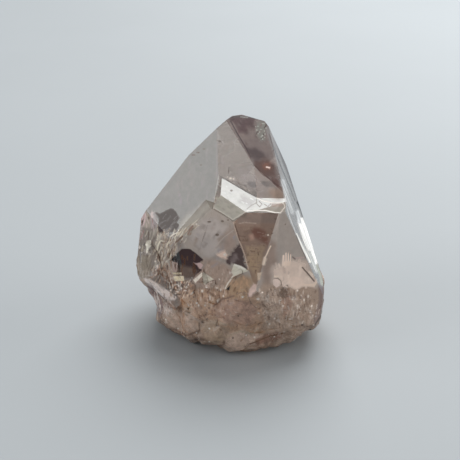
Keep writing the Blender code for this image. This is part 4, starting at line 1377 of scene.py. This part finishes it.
def floor_material(settings):
    """Plain pale matt floor with the faintest unevenness, and painted light that makes it lighter towards its
    far right.
    """
    material, tree = new_tree("pale_floor")
    place = tree.add("ShaderNodeTexCoord").outputs["Object"]
    low = (*((1.0 - FLOOR_SWING) * part for part in settings.floor_colour), 1.0)
    high = (*((1.0 + FLOOR_SWING) * part for part in settings.floor_colour), 1.0)
    colour = tree.mix(tree.noise(place, *PATTERNS["floor"]), low, high)
    axes = tree.add("ShaderNodeSeparateXYZ", {"Vector": place}).outputs
    # Painted light: the floor's colour grows lighter towards its far right
    towards_painted_light = tree.plus(axes["X"], tree.times(axes["Y"], FLOOR_PAINTED_LIGHT_SLANT))
    shader = tree.add(
        "ShaderNodeBsdfPrincipled",
        {
            "Base Color": tree.brighten(colour, tree.span(towards_painted_light, *FLOOR_PAINTED_LIGHT)),
            "Roughness": FLOOR_ROUGHNESS,
            "Specular IOR Level": FLOOR_SPECULAR,
        },
    )
    tree.add("ShaderNodeOutputMaterial", {"Surface": shader.outputs["BSDF"]})
    return material


# Operators
class QUARTZ_OT_crystal(bpy.types.Operator):
    """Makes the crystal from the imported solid, with a softer foot and its marks"""

    bl_idname = "quartz.crystal"
    bl_label = "Make the crystal"

    def execute(self, context):
        settings = context.scene.quartz_crystal
        shape = clean_copy(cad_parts[NODE])
        flat = flat_face_marks(shape, settings.flat_area, settings.foot_level)
        refine(shape, flat, lambda s: [f for f in s.faces if not f[flat]], settings.crust_edge, WIDE_ROUNDS)
        soften_foot(shape, flat, settings.softening)
        raise_lumps(shape, flat, settings.lump_height)
        refine(shape, flat, lambda s: faces_in_photo(s)[0], settings.fine_edge, WIDE_ROUNDS)
        refine(shape, flat, busy_faces, settings.busy_edge, FINE_ROUNDS)
        refine(shape, flat, sharp_faces, settings.sharp_edge, FINE_ROUNDS)
        for face in shape.faces:
            face.smooth = not face[flat]
        for edge in shape.edges:
            rough_both = not any(face[flat] for face in edge.link_faces)
            edge.smooth = rough_both and edge.calc_face_angle(0.0) < CREASE
        shape.verts.index_update()
        crust = crust_shares(shape, flat, settings.crust_fade)
        on_flat = np.array([face[flat] for face in shape.faces for _ in face.verts], bool)
        noise.seed_set(WOBBLE_SEED)
        wobble = np.array([noise.noise_vector(vert.co * WOBBLE_SCALE)[:2] for vert in shape.verts])
        mesh = bpy.data.meshes.new("crystal")
        shape.to_mesh(mesh)
        shape.free()

        surface = Surface(mesh, wobble, on_flat)
        everywhere = np.arange(len(on_flat))
        surface.lay(everywhere, np.ones(len(everywhere)), *OTHER_FACE)
        for face in FACES.values():
            surface.face(*face)
        surface.cover *= 1.0 - crust
        for patch in PATCHES.values():
            surface.patch(*patch)
        rng = random.Random(FLECK_SEED)
        for scatter in SCATTERS.values():
            surface.scatter(*scatter, rng)
        for facet in FACETS.values():
            surface.patch(*facet)
        for streak in STREAKS.values():
            surface.streak(*streak)
        for places, colour, veil in SPOTS.values():
            for place in places:
                surface.spot(*place, colour, veil)
        surface.keep(mesh, crust)

        crystal = bpy.data.objects.new("crystal", mesh)
        context.scene.collection.objects.link(crystal)
        mesh.materials.append(crystal_material(settings))
        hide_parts(NODE)
        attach(crystal, "root")
        return {"FINISHED"}


def soft_panel(scene, name, azimuth_rise, size, radiance, colour):
    """Soft light that looks at the crystal; azimuth 0 is behind it, 90 is on its right."""
    azimuth, rise = azimuth_rise
    way = Vector(look(180.0 - azimuth, rise))
    data = bpy.data.lights.new(name, "AREA")
    data.shape = "RECTANGLE"
    data.size, data.size_y = size
    data.energy = radiance * math.pi * size[0] * size[1]
    data.color = colour
    light = bpy.data.objects.new(name, data)
    light.location = CAMERA_TARGET + way * PANEL_AWAY
    light.rotation_euler = (-way).to_track_quat("-Z", "Y").to_euler()
    scene.collection.objects.link(light)


def set_camera(scene):
    """The photograph's camera."""
    lens = bpy.data.cameras.new("camera")
    lens.sensor_width = SENSOR
    lens.lens = SENSOR * PHOTO_FOCAL / PHOTO_SIDE
    lens.clip_start = NEAREST_SEEN
    camera = bpy.data.objects.new("camera", lens)
    right, up, forward = camera_axes()
    turn = Matrix((right, up, -forward)).transposed().to_4x4()
    camera.matrix_world = Matrix.Translation(camera_eye()) @ turn
    scene.collection.objects.link(camera)
    scene.camera = camera


class QUARTZ_OT_studio(bpy.types.Operator):
    """Sets the floor, the soft lights and the camera"""

    bl_idname = "quartz.studio"
    bl_label = "Set the studio"

    def execute(self, context):
        scene = context.scene
        settings = scene.quartz_studio
        shape = bmesh.new()
        bmesh.ops.create_grid(shape, x_segments=1, y_segments=1, size=FLOOR_SIZE)
        mesh = bpy.data.meshes.new("floor")
        shape.to_mesh(mesh)
        shape.free()
        floor = bpy.data.objects.new("floor", mesh)
        scene.collection.objects.link(floor)
        mesh.materials.append(floor_material(settings))

        world = bpy.data.worlds.new("pale room")
        world.use_nodes = True
        tree = Tree(world.node_tree)
        back = tree.add("ShaderNodeBackground", {"Color": ROOM_COLOUR, "Strength": settings.surround})
        tree.add("ShaderNodeOutputWorld", {"Surface": back.outputs["Background"]})
        scene.world = world

        for name, panel in PANELS.items():
            soft_panel(scene, name, *panel)
        set_camera(scene)
        scene.view_settings.view_transform = "Standard"
        return {"FINISHED"}


# Panel and registration
class QUARTZ_PT_panel(bpy.types.Panel):
    """Lists the crystal's and the studio's settings"""

    bl_idname = "QUARTZ_PT_panel"
    bl_label = "Smoky quartz"
    bl_space_type = "VIEW_3D"
    bl_region_type = "UI"
    bl_category = "Quartz"

    def draw(self, context):
        layout = self.layout
        for group in (context.scene.quartz_crystal, context.scene.quartz_studio):
            for name in group.bl_rna.properties.keys():
                if name not in ("rna_type", "name"):
                    layout.prop(group, name)
        layout.operator("quartz.crystal")
        layout.operator("quartz.studio")


CLASSES = (CrystalSettings, StudioSettings, QUARTZ_OT_crystal, QUARTZ_OT_studio, QUARTZ_PT_panel)


def register():
    """Adds the settings, operators and panel."""
    for made in CLASSES:
        bpy.utils.register_class(made)
    bpy.types.Scene.quartz_crystal = PointerProperty(type=CrystalSettings)
    bpy.types.Scene.quartz_studio = PointerProperty(type=StudioSettings)


def unregister():
    """Takes the settings, operators and panel away."""
    del bpy.types.Scene.quartz_studio
    del bpy.types.Scene.quartz_crystal
    for made in reversed(CLASSES):
        bpy.utils.unregister_class(made)


def main():
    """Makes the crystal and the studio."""
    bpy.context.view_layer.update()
    register()
    bpy.ops.quartz.crystal()
    bpy.ops.quartz.studio()


if __name__ == "__main__":
    main()
